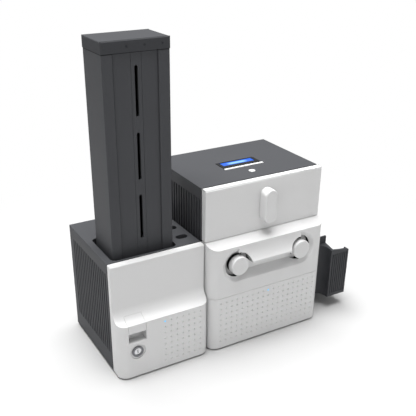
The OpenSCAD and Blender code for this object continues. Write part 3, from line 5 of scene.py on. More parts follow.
import bmesh
import bpy
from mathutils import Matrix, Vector


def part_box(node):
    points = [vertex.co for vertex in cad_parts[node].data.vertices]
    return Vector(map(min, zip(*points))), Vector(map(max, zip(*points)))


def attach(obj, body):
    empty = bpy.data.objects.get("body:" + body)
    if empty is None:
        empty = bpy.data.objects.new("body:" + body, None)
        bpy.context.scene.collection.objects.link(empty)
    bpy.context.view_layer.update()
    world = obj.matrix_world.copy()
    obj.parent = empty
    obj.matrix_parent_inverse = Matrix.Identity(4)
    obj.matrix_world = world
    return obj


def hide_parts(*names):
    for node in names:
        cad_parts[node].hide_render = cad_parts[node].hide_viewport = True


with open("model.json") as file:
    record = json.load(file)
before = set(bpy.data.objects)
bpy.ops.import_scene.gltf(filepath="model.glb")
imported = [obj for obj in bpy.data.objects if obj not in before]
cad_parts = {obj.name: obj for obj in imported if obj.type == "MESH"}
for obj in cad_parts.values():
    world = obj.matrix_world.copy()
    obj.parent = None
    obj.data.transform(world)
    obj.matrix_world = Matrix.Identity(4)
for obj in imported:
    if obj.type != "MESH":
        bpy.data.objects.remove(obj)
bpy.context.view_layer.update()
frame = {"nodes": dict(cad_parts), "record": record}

# Camera. It stands at the left and above the machine, where the picture was
# taken from, with a short telephoto lens. The shift only frames the machine.
photo_camera = bpy.data.cameras.new("photo_camera")
photo_camera.sensor_width = 36.0
photo_camera.lens = 57.77
photo_camera.shift_x = 0.0371
photo_camera.shift_y = 0.0759
looks_down = 26.239
looks_right = 29.209
camera_object = bpy.data.objects.new("photo_camera", photo_camera)
camera_object.location = (-0.54265, -0.8795, 0.6633)
camera_object.rotation_euler = (math.radians(90 - looks_down), 0, math.radians(-looks_right))
bpy.context.scene.collection.objects.link(camera_object)
bpy.context.scene.camera = camera_object


# Floor and studio. A pale sweep of paper under a white surround, with one wide
# soft box overhead, a weaker one at the left and a faint one in front.
def linear(code):
    """Linear colour of an sRGB hex code."""
    parts = [int(code[i:i + 2], 16) / 255 for i in (1, 3, 5)]
    return [c / 12.92 if c <= 0.04045 else ((c + 0.055) / 1.055) ** 2.4 for c in parts] + [1.0]


def add(tree, kind, sockets=None, links=None, **settings):
    """Adds a node, sets its properties and sockets, and links its inputs."""
    made = tree.nodes.new(kind)
    for key, value in settings.items():
        setattr(made, key, value)
    for key, value in (sockets or {}).items():
        made.inputs[key].default_value = value
    for key, source in (links or {}).items():
        tree.links.new(source, made.inputs[key])
    return made


def finish(name, build):
    """A material whose surface is what build returns."""
    made = bpy.data.materials.new(name)
    made.use_nodes = True
    tree = made.node_tree
    tree.nodes.clear()
    add(tree, "ShaderNodeOutputMaterial", links={"Surface": build(tree)})
    return made


def looked_at(tree):
    """1 where the camera looks straight or through glass, 0 where light bounces."""
    rays = add(tree, "ShaderNodeLightPath")
    return add(tree, "ShaderNodeMath", links={0: rays.outputs["Is Camera Ray"],
                                              1: rays.outputs["Is Transmission Ray"]},
               operation="MAXIMUM").outputs[0]


def paper(tree):
    """Grey lit paper by the machine, for its shadow, that turns pure white further out."""
    lit = add(tree, "ShaderNodeBsdfDiffuse", {"Color": linear("#C0C0C0")})
    white = add(tree, "ShaderNodeEmission", {"Color": linear("#FFFFFF"), "Strength": 1.0})
    place = add(tree, "ShaderNodeTexCoord")
    away = add(tree, "ShaderNodeVectorMath", links={0: place.outputs["Object"]}, operation="LENGTH")
    fade = add(tree, "ShaderNodeMapRange", {"From Min": 0.3, "From Max": 0.75},
               {"Value": away.outputs["Value"]}, interpolation_type="SMOOTHSTEP")
    share = add(tree, "ShaderNodeMath", links={0: looked_at(tree), 1: fade.outputs[0]}, operation="MULTIPLY")
    both = add(tree, "ShaderNodeMixShader",
               links={"Fac": share.outputs[0], 1: lit.outputs[0], 2: white.outputs[0]})
    return both.outputs[0]


reach = 6
floor_mesh = bpy.data.meshes.new("paper_floor")
floor_mesh.from_pydata([(-reach, -reach, 0), (reach, -reach, 0), (reach, reach, 0), (-reach, reach, 0)],
                       [], [(0, 1, 2, 3)])
floor_mesh.materials.append(finish("white_paper", paper))
paper_floor = bpy.data.objects.new("paper_floor", floor_mesh)
bpy.context.scene.collection.objects.link(paper_floor)

surround = bpy.data.worlds.new("white_surround")
surround.use_nodes = True
surround.node_tree.nodes.clear()
level = add(surround.node_tree, "ShaderNodeMapRange", {"To Min": 0.3}, {"Value": looked_at(surround.node_tree)})
sky = add(surround.node_tree, "ShaderNodeBackground", {"Color": linear("#FFFFFF")},
          {"Strength": level.outputs[0]})
add(surround.node_tree, "ShaderNodeOutputWorld", links={"Surface": sky.outputs[0]})
bpy.context.scene.world = surround
bpy.context.scene.view_settings.view_transform = "Standard"

for lamp_name, place, aim, size, watts in (
        ("top_soft_box", (-0.2, 0.25, 3.2), (0, 0, 0.2), 2.4, 215.0),
        ("left_soft_box", (-2.4, -1.9, 1.2), (0, 0, 0.2), 1.4, 9.5),
        ("front_soft_box", (0.8, -2.6, 1.0), (0.05, 0, 0.2), 1.4, 6.0)):
    lamp = bpy.data.lights.new(lamp_name, "AREA")
    lamp.shape = "SQUARE"
    lamp.size = size
    lamp.energy = watts
    lamp_object = bpy.data.objects.new(lamp_name, lamp)
    lamp_object.location = place
    lamp_object.rotation_euler = (Vector(place) - Vector(aim)).to_track_quat("Z", "Y").to_euler()
    bpy.context.scene.collection.objects.link(lamp_object)


# Bent trays, bulkheads, panels and runners inside both units: mild steel
# sheet, cut and folded, then zinc plated. The plating is a dull blue-grey with
# crystals of a few millimetres that shine unevenly.
def per_metre(size_mm):
    """A pattern's scale: how many features of this size fit in a metre."""
    return 1000 / size_mm


def sheet_steel(tree):
    place = add(tree, "ShaderNodeTexCoord")
    spangle = add(tree, "ShaderNodeTexVoronoi", {"Scale": per_metre(6.25)}, {"Vector": place.outputs["Object"]})
    tone = add(tree, "ShaderNodeMapRange", {"To Min": 0.28, "To Max": 0.46},
               {"Value": spangle.outputs["Color"]})
    grain = add(tree, "ShaderNodeTexNoise", {"Scale": per_metre(1.11), "Detail": 3.0},
                {"Vector": place.outputs["Object"]})
    bump = add(tree, "ShaderNodeBump", {"Strength": 0.06, "Distance": 0.0002}, {"Height": grain.outputs[0]})
    skin = add(tree, "ShaderNodeBsdfPrincipled", {"Base Color": linear("#A9ADB2"), "Metallic": 1.0},
               {"Roughness": tone.outputs[0], "Normal": bump.outputs[0]})
    return skin.outputs[0]


zinc_plated_steel = finish("zinc_plated_steel", sheet_steel)


def dress(names, material):
    """Gives CAD nodes their finish."""
    for name in names:
        data = frame["nodes"][name].data
        data.materials.clear()
        data.materials.append(material)


dress(["feeder_base", "feed_deck", "printer_base", "rear_panel", "front_bulkhead", "rear_bulkhead",
       "drawer_runners"], zinc_plated_steel)


# Feet, moulded from black rubber and pushed into holes of both trays. Rubber
# scatters light evenly, so the feet read as one dark line under the machine.
def moulded_rubber(tree):
    place = add(tree, "ShaderNodeTexCoord")
    crumb = add(tree, "ShaderNodeTexNoise", {"Scale": per_metre(0.714), "Detail": 3.0},
                {"Vector": place.outputs["Object"]})
    bump = add(tree, "ShaderNodeBump", {"Strength": 0.25, "Distance": 0.0002}, {"Height": crumb.outputs[0]})
    tone = add(tree, "ShaderNodeMapRange", {"To Min": 0.62, "To Max": 0.85}, {"Value": crumb.outputs[0]})
    skin = add(tree, "ShaderNodeBsdfPrincipled", {"Base Color": linear("#1C1C1D"), "IOR": 1.45},
               {"Roughness": tone.outputs[0], "Normal": bump.outputs[0]})
    return skin.outputs[0]


black_rubber = finish("black_rubber", moulded_rubber)
dress(["rubber_feet"], black_rubber)


# Casings and lid: steel sheet with a fine textured powder coat, baked on after
# folding. It is dark grey with a soft sheen, and the folds are slightly round.
def textured(code, roughness, grain_mm):
    """A textured skin of paint or moulded plastic, with clouds that shade it by a twentieth."""
    def build(tree):
        place = add(tree, "ShaderNodeTexCoord")
        peel = add(tree, "ShaderNodeTexNoise", {"Scale": per_metre(grain_mm), "Detail": 2.0, "Roughness": 0.6},
                   {"Vector": place.outputs["Object"]})
        cloud = add(tree, "ShaderNodeTexNoise", {"Scale": per_metre(55.6), "Detail": 2.0},
                    {"Vector": place.outputs["Object"]})
        dark = [c * 0.95 for c in linear(code)[:3]] + [1.0]
        pale = [c * 1.05 for c in linear(code)[:3]] + [1.0]
        colour = add(tree, "ShaderNodeMix", {"A": dark, "B": pale}, {"Factor": cloud.outputs[0]},
                     data_type="RGBA")
        shine = add(tree, "ShaderNodeMapRange", {"To Min": roughness - 0.06, "To Max": roughness + 0.06},
                    {"Value": peel.outputs[0]})
        bump = add(tree, "ShaderNodeBump", {"Strength": 0.15, "Distance": 0.0002}, {"Height": peel.outputs[0]})
        skin = add(tree, "ShaderNodeBsdfPrincipled", {"IOR": 1.33},
                   {"Base Color": colour.outputs["Result"], "Roughness": shine.outputs[0],
                    "Normal": bump.outputs[0]})
        return skin.outputs[0]
    return build


body_of = {node: body for body, nodes in frame["record"]["behaviour"]["bodies"].items() for node in nodes}


def copy_of(node):
    """A CAD node's shape as a clean bmesh, with its flat faces joined up."""
    made = bmesh.new()
    made.from_mesh(frame["nodes"][node].data)
    bmesh.ops.remove_doubles(made, verts=made.verts, dist=2e-6)
    bmesh.ops.dissolve_limit(made, angle_limit=math.radians(0.1), verts=made.verts, edges=made.edges)
    bmesh.ops.recalc_face_normals(made, faces=made.faces)
    return made


def mark(made, width, rule, fold=28):
    """Marks edges that turn more than fold degrees for rounding. Width is the widest one, in mm.

    The rule gives each edge its own width from its middle, in mm, and the edge.
    """
    layer = made.edges.layers.float.new("bevel_weight_edge")
    for edge in made.edges:
        if len(edge.link_faces) == 2 and edge.calc_face_angle(0) > math.radians(fold):
            edge[layer] = rule((edge.verts[0].co + edge.verts[1].co) * 500, edge) / width


def settle(node, made, materials, width=0.0, segments=3, cutter=None, sharp=32):
    """Turns a bmesh into the shown piece of a CAD node: rounds its marked edges, cuts it, shades it.

    Edges that turn more than sharp degrees stay crisp.
    """
    mesh = bpy.data.meshes.new(node + "_skin")
    made.to_mesh(mesh)
    made.free()
    for material in materials:
        mesh.materials.append(material)
    piece = bpy.data.objects.new(node + "_skin", mesh)
    bpy.context.scene.collection.objects.link(piece)
    if width:
        rounding = piece.modifiers.new("rounding", "BEVEL")
        rounding.limit_method = "WEIGHT"
        rounding.width = width / 1000
        rounding.segments = segments
        rounding.use_clamp_overlap = False
    if cutter:
        cuts = piece.modifiers.new("cuts", "BOOLEAN")
        cuts.operation = "DIFFERENCE"
        cuts.solver = "MANIFOLD"
        cuts.object = cutter
    shaped = bpy.data.meshes.new_from_object(piece.evaluated_get(bpy.context.evaluated_depsgraph_get()))
    piece.modifiers.clear()
    made = bmesh.new()
    made.from_mesh(shaped)
    bmesh.ops.triangulate(made, faces=made.faces)
    bmesh.ops.dissolve_degenerate(made, dist=2e-6, edges=made.edges)
    for face in made.faces:
        face.smooth = True
    for edge in made.edges:
        edge.smooth = len(edge.link_faces) == 2 and edge.calc_face_angle(0) < math.radians(sharp)
    made.to_mesh(shaped)
    made.free()
    piece.data = shaped
    weighted = piece.modifiers.new("weighted", "WEIGHTED_NORMAL")
    weighted.keep_sharp = True
    piece.data = bpy.data.meshes.new_from_object(piece.evaluated_get(bpy.context.evaluated_depsgraph_get()))
    piece.modifiers.clear()
    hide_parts(node)
    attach(piece, body_of[node])
    return piece


near_mm = 0.02


def outline(node, wide, front_mm=None):
    """A rule that rounds the edges where two sides of the node's box meet.

    A front plane can stand in for the side at the lowest y.
    """
    low, high = [corner * 1000 for corner in map(Vector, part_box(node))]
    low.y = low.y if front_mm is None else front_mm

    def rule(middle, edge):
        sides = sum(min(abs(middle[i] - low[i]), abs(middle[i] - high[i])) < near_mm for i in range(3))
        return wide if sides >= 2 else 0.0
    return rule


dark_powder_coat = finish("dark_powder_coat", textured("#424346", 0.6, 0.7))
for node, wide in (("feeder_casing", 0.8), ("printer_casing", 1.2), ("feeder_lid", 0.8)):
    shape = copy_of(node)
    mark(shape, wide, outline(node, wide))
    settle(node, shape, [dark_powder_coat], wide)


# Card magazine: an aluminium extrusion with a front plate in its rebates, both
# painted satin grey, so that long soft streaks of light run down the faces. A
# thin band under the cap and a strip beside the plate are painted black: painted
# shadow, a crisp dark line where the cap and the plate's rebate cast shade.
satin_magazine_paint = finish("satin_magazine_paint", textured("#424346", 0.58, 0.5))
# Black used as painted shade: under the cap, beside the plate, in the drawer's wells and slot, and on the
# knobs' inner halves.
painted_shade_black = finish("painted_shade_black", textured("#17181A", 0.7, 0.5))


def paint_shade_beyond(made, place, way, beyond):
    """Parts a piece's faces along a plane and gives those that pass the test its second finish: black, as
    painted shade.
    """
    bmesh.ops.bisect_plane(made, geom=made.verts[:] + made.edges[:] + made.faces[:], dist=1e-6, plane_co=place,
                           plane_no=way)
    for face in made.faces:
        if beyond(face.calc_center_median()):
            face.material_index = 1


# Width of the bands painted black as shadow under the cap and beside the plate.
shade_band_w = 0.0012
rebate_w = 0.0034
upright = 0.3
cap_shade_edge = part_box("magazine_front")[1][2] - shade_band_w
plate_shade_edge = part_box("magazine_front")[0][0] + rebate_w + shade_band_w
shape = copy_of("magazine_body")
paint_shade_beyond(shape, (0, 0, cap_shade_edge), (0, 0, 1), lambda middle: middle.z > cap_shade_edge)
mark(shape, 0.4, lambda middle, edge: 0.4 if edge.calc_length() > upright else 0.0)
settle("magazine_body", shape, [satin_magazine_paint, painted_shade_black], 0.4, 2)
shape = copy_of("magazine_front")
paint_shade_beyond(shape, (0, 0, cap_shade_edge), (0, 0, 1), lambda middle: middle.z > cap_shade_edge)
paint_shade_beyond(shape, (plate_shade_edge, 0, 0), (1, 0, 0), lambda middle: middle.x < plate_shade_edge)
settle("magazine_front", shape, [satin_magazine_paint, painted_shade_black])


# Magazine cap: a lid moulded from dark ABS, with a dry grained skin, that turns
# on a steel pin at the back. Three small screws hold it from the front.
moulded_cap = finish("moulded_cap", textured("#3A3B3E", 0.7, 0.6))
shape = copy_of("magazine_cap")
cap_round = 2.0
skirt_round = 0.4
skirt_top = cap_shade_edge * 1000 + 3
cap_edges = outline("magazine_cap", cap_round)
mark(shape, cap_round,
     lambda middle, edge: min(cap_edges(middle, edge), skirt_round if middle.z < skirt_top else cap_round))
settle("magazine_cap", shape, [moulded_cap], cap_round)


# Screws, pins, pinion, pulley and lock, turned from steel and brass. Pins are
# bright and screws dark with oil. The lock's chromed plug sits in a ring of
# nickel painted darker than it is, as painted shade and dark reflection of its
# recess, which gives the lock a bright centre.
def machined(code, roughness):
    """Turned, drawn or milled metal: a fine grain of tool marks changes its shine a little."""
    def build(tree):
        place = add(tree, "ShaderNodeTexCoord")
        rings = add(tree, "ShaderNodeTexNoise", {"Scale": per_metre(0.4545), "Detail": 1.0},
                    {"Vector": place.outputs["Object"]})
        shine = add(tree, "ShaderNodeMapRange", {"To Min": roughness - 0.05, "To Max": roughness + 0.07},
                    {"Value": rings.outputs[0]})
        bump = add(tree, "ShaderNodeBump", {"Strength": 0.05, "Distance": 0.0001}, {"Height": rings.outputs[0]})
        skin = add(tree, "ShaderNodeBsdfPrincipled", {"Base Color": linear(code), "Metallic": 1.0},
                   {"Roughness": shine.outputs[0], "Normal": bump.outputs[0]})
        return skin.outputs[0]
    return build


turned_steel = finish("turned_steel", machined("#B9BBBE", 0.26))
dress(["cap_screws"], finish("oiled_steel", machined("#3C3D40", 0.5)))
dress(["cap_hinge_pin", "hinge_pins", "pick_pinion", "motor_pulley"], turned_steel)
dress(["lock_plug"], finish("polished_chrome", machined("#D9DADC", 0.14)))
# The barrel's darker nickel is painted shade and reflection round the plug.
dress(["lock_barrel"], finish("nickel_painted_dark", machined("#77787B", 0.3)))


# Card stack: blank white PVC cards, die cut with round corners and never stacked
# quite square. Their faces are smooth and glossy. On them lies a milled steel
# weight, blackened and nearly matt.
def card_plastic(tree):
    place = add(tree, "ShaderNodeTexCoord")
    haze = add(tree, "ShaderNodeTexNoise", {"Scale": per_metre(16.7), "Detail": 2.0},
               {"Vector": place.outputs["Object"]})
    tone = add(tree, "ShaderNodeMapRange", {"To Min": 0.2, "To Max": 0.32}, {"Value": haze.outputs[0]})
    skin = add(tree, "ShaderNodeBsdfPrincipled", {"Base Color": linear("#ECECE8"), "IOR": 1.5},
               {"Roughness": tone.outputs[0]})
    return skin.outputs[0]


white_card = finish("white_card", card_plastic)
low, high = map(Vector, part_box("card_stack"))
card_t = 0.00076
card_corner = 0.00318
card_slip = 0.0002
play = 0.996
pressed = 0.94
corner_steps = 4
shape = bmesh.new()
rim = []
for cx, cy, start in ((1, 1, 0), (-1, 1, 90), (-1, -1, 180), (1, -1, 270)):
    for step in range(corner_steps + 1):
        turn = math.radians(start + step * 90 / corner_steps)
        rim.append((cx * ((high.x - low.x) / 2 - card_corner) + card_corner * math.cos(turn),
                    cy * ((high.y - low.y) / 2 - card_corner) + card_corner * math.sin(turn)))
lower = [shape.verts.new((x * play, y * play, 0)) for x, y in rim]
upper = [shape.verts.new((x * play, y * play, card_t * pressed)) for x, y in rim]
shape.faces.new(lower[::-1])
shape.faces.new(upper)
for i in range(len(rim)):
    shape.faces.new((lower[i - 1], lower[i], upper[i], upper[i - 1]))
card_mesh = bpy.data.meshes.new("one_card")
shape.to_mesh(card_mesh)
shape.free()
one_card = bpy.data.objects.new("one_card", card_mesh)
bpy.context.scene.collection.objects.link(one_card)


def tree_with(name, inputs):
    """A Geometry Nodes tree with named inputs, its group input and a socket for the result."""
    tree = bpy.data.node_groups.new(name, "GeometryNodeTree")
    tree.interface.new_socket("Geometry", in_out="OUTPUT", socket_type="NodeSocketGeometry")
    for label, kind in inputs:
        tree.interface.new_socket(label, in_out="INPUT", socket_type="NodeSocket" + kind)
    return tree, add(tree, "NodeGroupInput").outputs


def grow(name, tree, made, entry, values):
    """Ends a tree with its material, runs it with named values and returns the plain mesh."""
    solid = add(tree, "GeometryNodeRealizeInstances", links={"Geometry": made})
    coated = add(tree, "GeometryNodeSetMaterial",
                 links={"Geometry": solid.outputs[0], "Material": entry["Material"]})
    add(tree, "NodeGroupOutput", links={"Geometry": coated.outputs[0]})
    host = bpy.data.objects.new(name, bpy.data.meshes.new(name))
    bpy.context.scene.collection.objects.link(host)
    run = host.modifiers.new(name, "NODES")
    run.node_group = tree
    for item in tree.interface.items_tree:
        if item.item_type == "SOCKET" and item.in_out == "INPUT":
            run[item.identifier] = values[item.name]
    mesh = bpy.data.meshes.new_from_object(host.evaluated_get(bpy.context.evaluated_depsgraph_get()))
    bpy.data.objects.remove(host)
    return mesh


tree, entry = tree_with("stacked_cards", [("Card", "Object"), ("Count", "Int"), ("Pitch", "Vector"),
                                          ("Start", "Vector"), ("Slack", "Vector"), ("Seed", "Int"),
                                          ("Material", "Material")])
column = add(tree, "GeometryNodeMeshLine", links={"Count": entry["Count"], "Start Location": entry["Start"],
                                                  "Offset": entry["Pitch"]})
minus = add(tree, "ShaderNodeVectorMath", {"Scale": -1.0}, {0: entry["Slack"]}, operation="SCALE")
slip = add(tree, "FunctionNodeRandomValue", links={"Min": minus.outputs[0], "Max": entry["Slack"],
                                                   "Seed": entry["Seed"]}, data_type="FLOAT_VECTOR")
column = add(tree, "GeometryNodeSetPosition", links={"Geometry": column.outputs[0], "Offset": slip.outputs[0]})
card = add(tree, "GeometryNodeObjectInfo", links={"Object": entry["Card"]})
cards = add(tree, "GeometryNodeInstanceOnPoints", links={"Points": column.outputs[0],
                                                         "Instance": card.outputs["Geometry"]})
stack_mesh = grow("card_stack_skin", tree, cards.outputs[0], entry,
                  {"Card": one_card, "Count": int((high.z - low.z) / card_t), "Pitch": (0, 0, card_t),
                   "Start": ((low.x + high.x) / 2, (low.y + high.y) / 2, low.z),
                   "Slack": (card_slip, card_slip, 0),
                   "Seed": 4, "Material": white_card})
card_stack = bpy.data.objects.new("card_stack_skin", stack_mesh)
bpy.context.scene.collection.objects.link(card_stack)
bpy.data.objects.remove(one_card)
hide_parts("card_stack")
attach(card_stack, body_of["card_stack"])
shape = copy_of("card_weight")
mark(shape, 1.0, lambda middle, edge: 1.0)
settle("card_weight", shape, [finish("blackened_steel", machined("#242426", 0.5))], 1.0)


# Silver fronts: moulded ABS, painted a fine satin silver-white that keeps wide
# soft highlights. Outer edges are rounded, and shallow round recesses in rows
# cover the feeder door and the lower cover, except where their lamps are.
def silver(tree):
    place = add(tree, "ShaderNodeTexCoord")
    fleck = add(tree, "ShaderNodeTexNoise", {"Scale": per_metre(0.3846), "Detail": 2.0},
                {"Vector": place.outputs["Object"]})
    shine = add(tree, "ShaderNodeMapRange", {"To Min": 0.34, "To Max": 0.46}, {"Value": fleck.outputs[0]})
    bump = add(tree, "ShaderNodeBump", {"Strength": 0.06, "Distance": 0.0001}, {"Height": fleck.outputs[0]})
    tint = add(tree, "ShaderNodeMix", {"A": linear("#D0D0D0"), "B": linear("#D8D8D8")},
               {"Factor": fleck.outputs[0]}, data_type="RGBA")
    skin = add(tree, "ShaderNodeBsdfPrincipled", {"IOR": 1.45},
               {"Base Color": tint.outputs["Result"], "Roughness": shine.outputs[0], "Normal": bump.outputs[0]})
    return skin.outputs[0]


silver_abs = finish("silver_abs", silver)
recess_tree, entry = tree_with("recess_grid", [
    ("Columns", "Int"), ("Rows", "Int"), ("Width", "Float"), ("Height", "Float"), ("Middle", "Vector"),
    ("Lamp", "Vector"), ("Lamp Room", "Float"), ("Radius", "Float"), ("Material", "Material")])
field = add(recess_tree, "GeometryNodeMeshGrid",
            links={"Size X": entry["Width"], "Size Y": entry["Height"],
                   "Vertices X": entry["Columns"], "Vertices Y": entry["Rows"]})
field = add(recess_tree, "GeometryNodeTransform", {"Rotation": (math.radians(90), 0, 0)},
            {"Geometry": field.outputs[0], "Translation": entry["Middle"]})
where = add(recess_tree, "GeometryNodeInputPosition")
far = add(recess_tree, "ShaderNodeVectorMath", links={0: where.outputs[0], 1: entry["Lamp"]},
          operation="DISTANCE")
near = add(recess_tree, "FunctionNodeCompare", links={0: far.outputs["Value"], 1: entry["Lamp Room"]},
           data_type="FLOAT", operation="LESS_THAN")
field = add(recess_tree, "GeometryNodeDeleteGeometry",
            links={"Geometry": field.outputs[0], "Selection": near.outputs[0]})
ball = add(recess_tree, "GeometryNodeMeshUVSphere", {"Segments": 16, "Rings": 12}, {"Radius": entry["Radius"]})
balls = add(recess_tree, "GeometryNodeInstanceOnPoints",
            links={"Points": field.outputs[0], "Instance": ball.outputs[0]})

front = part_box("lower_cover")[0][1]
ball_r = 0.002
ball_out = 0.0007
lamp_room = 0.005
front_round = 1.6


def recesses(lamp, columns, rows, pitch_x, pitch_z, first_x, first_z):
    """Balls that cut a grid of shallow recesses, from its upper left one, with none where the lamp is."""
    low, high = map(Vector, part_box(lamp))
    width = pitch_x * (columns - 1)
    height = pitch_z * (rows - 1)
    values = {"Columns": columns, "Rows": rows, "Width": width, "Height": height,
              "Middle": (first_x + width / 2, front - ball_out, first_z - height / 2),
              "Lamp": ((low.x + high.x) / 2, front, (low.z + high.z) / 2), "Lamp Room": lamp_room,
              "Radius": ball_r, "Material": silver_abs}
    mesh = grow(lamp + "_recesses", recess_tree, balls.outputs[0], entry, values)
    made = bpy.data.objects.new(lamp + "_recesses", mesh)
    bpy.context.scene.collection.objects.link(made)
    return made


lock_low, lock_high = [corner * 1000 for corner in map(Vector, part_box("lock_barrel"))]
lock_middle = (lock_low + lock_high) / 2
lock_seat = 14
door_edges = outline("feeder_door", front_round)


def at_front(middle):
    """Whether an edge's middle, in mm, lies in the plane of the fronts."""
    return abs(middle.y - front * 1000) < near_mm


def door_rule(middle, edge):
    """The lock's dish has a finer rim than the door's outer edges."""
    if math.hypot(middle.x - lock_middle.x, middle.z - lock_middle.z) < lock_seat:
        return 0.8 if at_front(middle) else 0.0
    return door_edges(middle, edge)


door_recesses = recesses("feeder_led", 7, 8, 0.01045, 0.0105, -0.15195, 0.089)
shape = copy_of("feeder_door")
mark(shape, front_round, door_rule)
settle("feeder_door", shape, [silver_abs], front_round, cutter=door_recesses)
cover_recesses = recesses("cover_led", 19, 8, 0.01037, 0.0104, -0.05008, 0.0896)
shape = copy_of("lower_cover")
mark(shape, front_round, outline("lower_cover", front_round))
settle("lower_cover", shape, [silver_abs], front_round, cutter=cover_recesses)
for used in (door_recesses, cover_recesses):
    bpy.data.objects.remove(used)
shape = copy_of("latch_flap")
mark(shape, 0.4, lambda middle, edge: 0.4 if at_front(middle) else 0.0)
settle("latch_flap", shape, [silver_abs], 0.4, 2)
shape = copy_of("upper_door")
mark(shape, front_round, outline("upper_door", front_round))
settle("upper_door", shape, [silver_abs], front_round)


# Ribbon drawer front, its two spindle knobs and the turning handle: the same
# silver ABS, with well rounded rims that catch the light. The back of the slot,
# the wells and the knobs' inner halves are painted black as shade: painted
# shadow that gives a dark crescent at each knob.
knobs = [[(a + b) / 2 for a, b in zip(*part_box(node))] for node in ("left_knob", "right_knob")]
knob_z = knobs[0][2]
well_r = 0.0226
dish_floor = front + 0.0051
well_floor = front + 0.0135
# Heights between which the back of the pull slot is painted black as shade under the lip.
slot_shade_low = knob_z - 0.0155
slot_shade_high = knob_z + 0.002
# Depth from which the knobs' sides are painted black as shade.
knob_shade_from = front + 0.0055
hollows_low = 115
hollows_high = 190
rim_round = 1.2


def in_painted_shade(middle):
    """Whether a face is painted black as shade: in a knob's well or at the back of the pull slot."""
    well = any(math.hypot(middle.x - x, middle.z - z) < well_r for x, y, z in knobs)
    slot = knobs[0][0] < middle.x < knobs[1][0] and slot_shade_low < middle.z < slot_shade_high
    return dish_floor < middle.y < well_floor and (well or slot)


def drawer_rule(middle, edge):
    """The rims of the hollows, which lie between two heights in mm, are a little finer."""
    rim = at_front(middle) and hollows_low < middle.z < hollows_high
    return drawer_edges(middle, edge) or (rim_round if rim else 0.0)


drawer_edges = outline("drawer_front", front_round, front * 1000)
shape = copy_of("drawer_front")
paint_shade_beyond(shape, (0, 0, slot_shade_low), (0, 0, 1), in_painted_shade)
mark(shape, front_round, drawer_rule)
settle("drawer_front", shape, [silver_abs, painted_shade_black], front_round)
for node, width in (("left_knob", 1.5), ("right_knob", 1.5), ("turn_handle", 2.5)):
    shape = copy_of(node)
    rim_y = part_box(node)[0][1] * 1000
    mark(shape, width, lambda middle, edge: width if abs(middle.y - rim_y) < near_mm else 0.0)
    if node != "turn_handle":
        paint_shade_beyond(shape, (0, knob_shade_from, 0), (0, 1, 0), lambda middle: middle.y > knob_shade_from)
    settle(node, shape, [silver_abs, painted_shade_black], width, 4)


# Lamps: light guides of clear acrylic in the lower fronts, lit blue from within
# and a little brighter in the middle than at the rim.
def lit_guide(tree):
    place = add(tree, "ShaderNodeTexCoord")
    out = add(tree, "ShaderNodeVectorMath", {1: (0.5, 0.5, 0.5)}, {0: place.outputs["Generated"]},
              operation="DISTANCE")
    glow = add(tree, "ShaderNodeMapRange", {"From Min": 0.5, "From Max": 0.9, "To Min": 1.0, "To Max": 0.75},
               {"Value": out.outputs["Value"]})
    skin = add(tree, "ShaderNodeBsdfPrincipled",
               {"Base Color": linear("#20455C"), "Roughness": 0.25, "IOR": 1.49,
                "Emission Color": linear("#8FD8FF")},
               {"Emission Strength": glow.outputs[0]})
    return skin.outputs[0]


dress(["feeder_led", "cover_led"], finish("blue_light_guide", lit_guide))


# Display: a backlit glass in a bezel of glossy black ABS on the dark top. The
# glass is deep blue with one paler band, so that it reads as switched on. Below
# it are four bar keys and a round button, moulded like the silver fronts.
def lit_glass(tree):
    place = add(tree, "ShaderNodeTexCoord")
    axes = add(tree, "ShaderNodeSeparateXYZ", links={"Vector": place.outputs["Generated"]})
    rise = add(tree, "ShaderNodeMath", {1: 0.52}, {0: axes.outputs["Y"]}, operation="SUBTRACT")
    side = add(tree, "ShaderNodeMath", {1: 0.5}, {0: axes.outputs["X"]}, operation="SUBTRACT")
    rise = add(tree, "ShaderNodeMath", links={0: rise.outputs[0]}, operation="ABSOLUTE")
    side = add(tree, "ShaderNodeMath", links={0: side.outputs[0]}, operation="ABSOLUTE")
    band = add(tree, "ShaderNodeMapRange", {"From Min": 0.14, "From Max": 0.32, "To Min": 1.0, "To Max": 0.0},
               {"Value": rise.outputs[0]})
    ends = add(tree, "ShaderNodeMapRange", {"From Min": 0.2, "From Max": 0.34, "To Min": 1.0, "To Max": 0.0},
               {"Value": side.outputs[0]})
    pale = add(tree, "ShaderNodeMath", links={0: band.outputs[0], 1: ends.outputs[0]}, operation="MULTIPLY")
    colour = add(tree, "ShaderNodeMix", {"A": linear("#2E6CE6"), "B": linear("#9FDCF6")},
                 {"Factor": pale.outputs[0]}, data_type="RGBA")
    skin = add(tree, "ShaderNodeBsdfPrincipled",
               {"Base Color": linear("#0A1A40"), "Roughness": 0.12, "IOR": 1.5, "Emission Strength": 1.1},
               {"Emission Color": colour.outputs["Result"]})
    return skin.outputs[0]


def gloss_black(tree):
    place = add(tree, "ShaderNodeTexCoord")
    haze = add(tree, "ShaderNodeTexNoise", {"Scale": per_metre(11.1), "Detail": 2.0},
               {"Vector": place.outputs["Object"]})
    tone = add(tree, "ShaderNodeMapRange", {"To Min": 0.2, "To Max": 0.3}, {"Value": haze.outputs[0]})
    skin = add(tree, "ShaderNodeBsdfPrincipled", {"Base Color": linear("#131416"), "IOR": 1.5},
               {"Roughness": tone.outputs[0]})
    return skin.outputs[0]


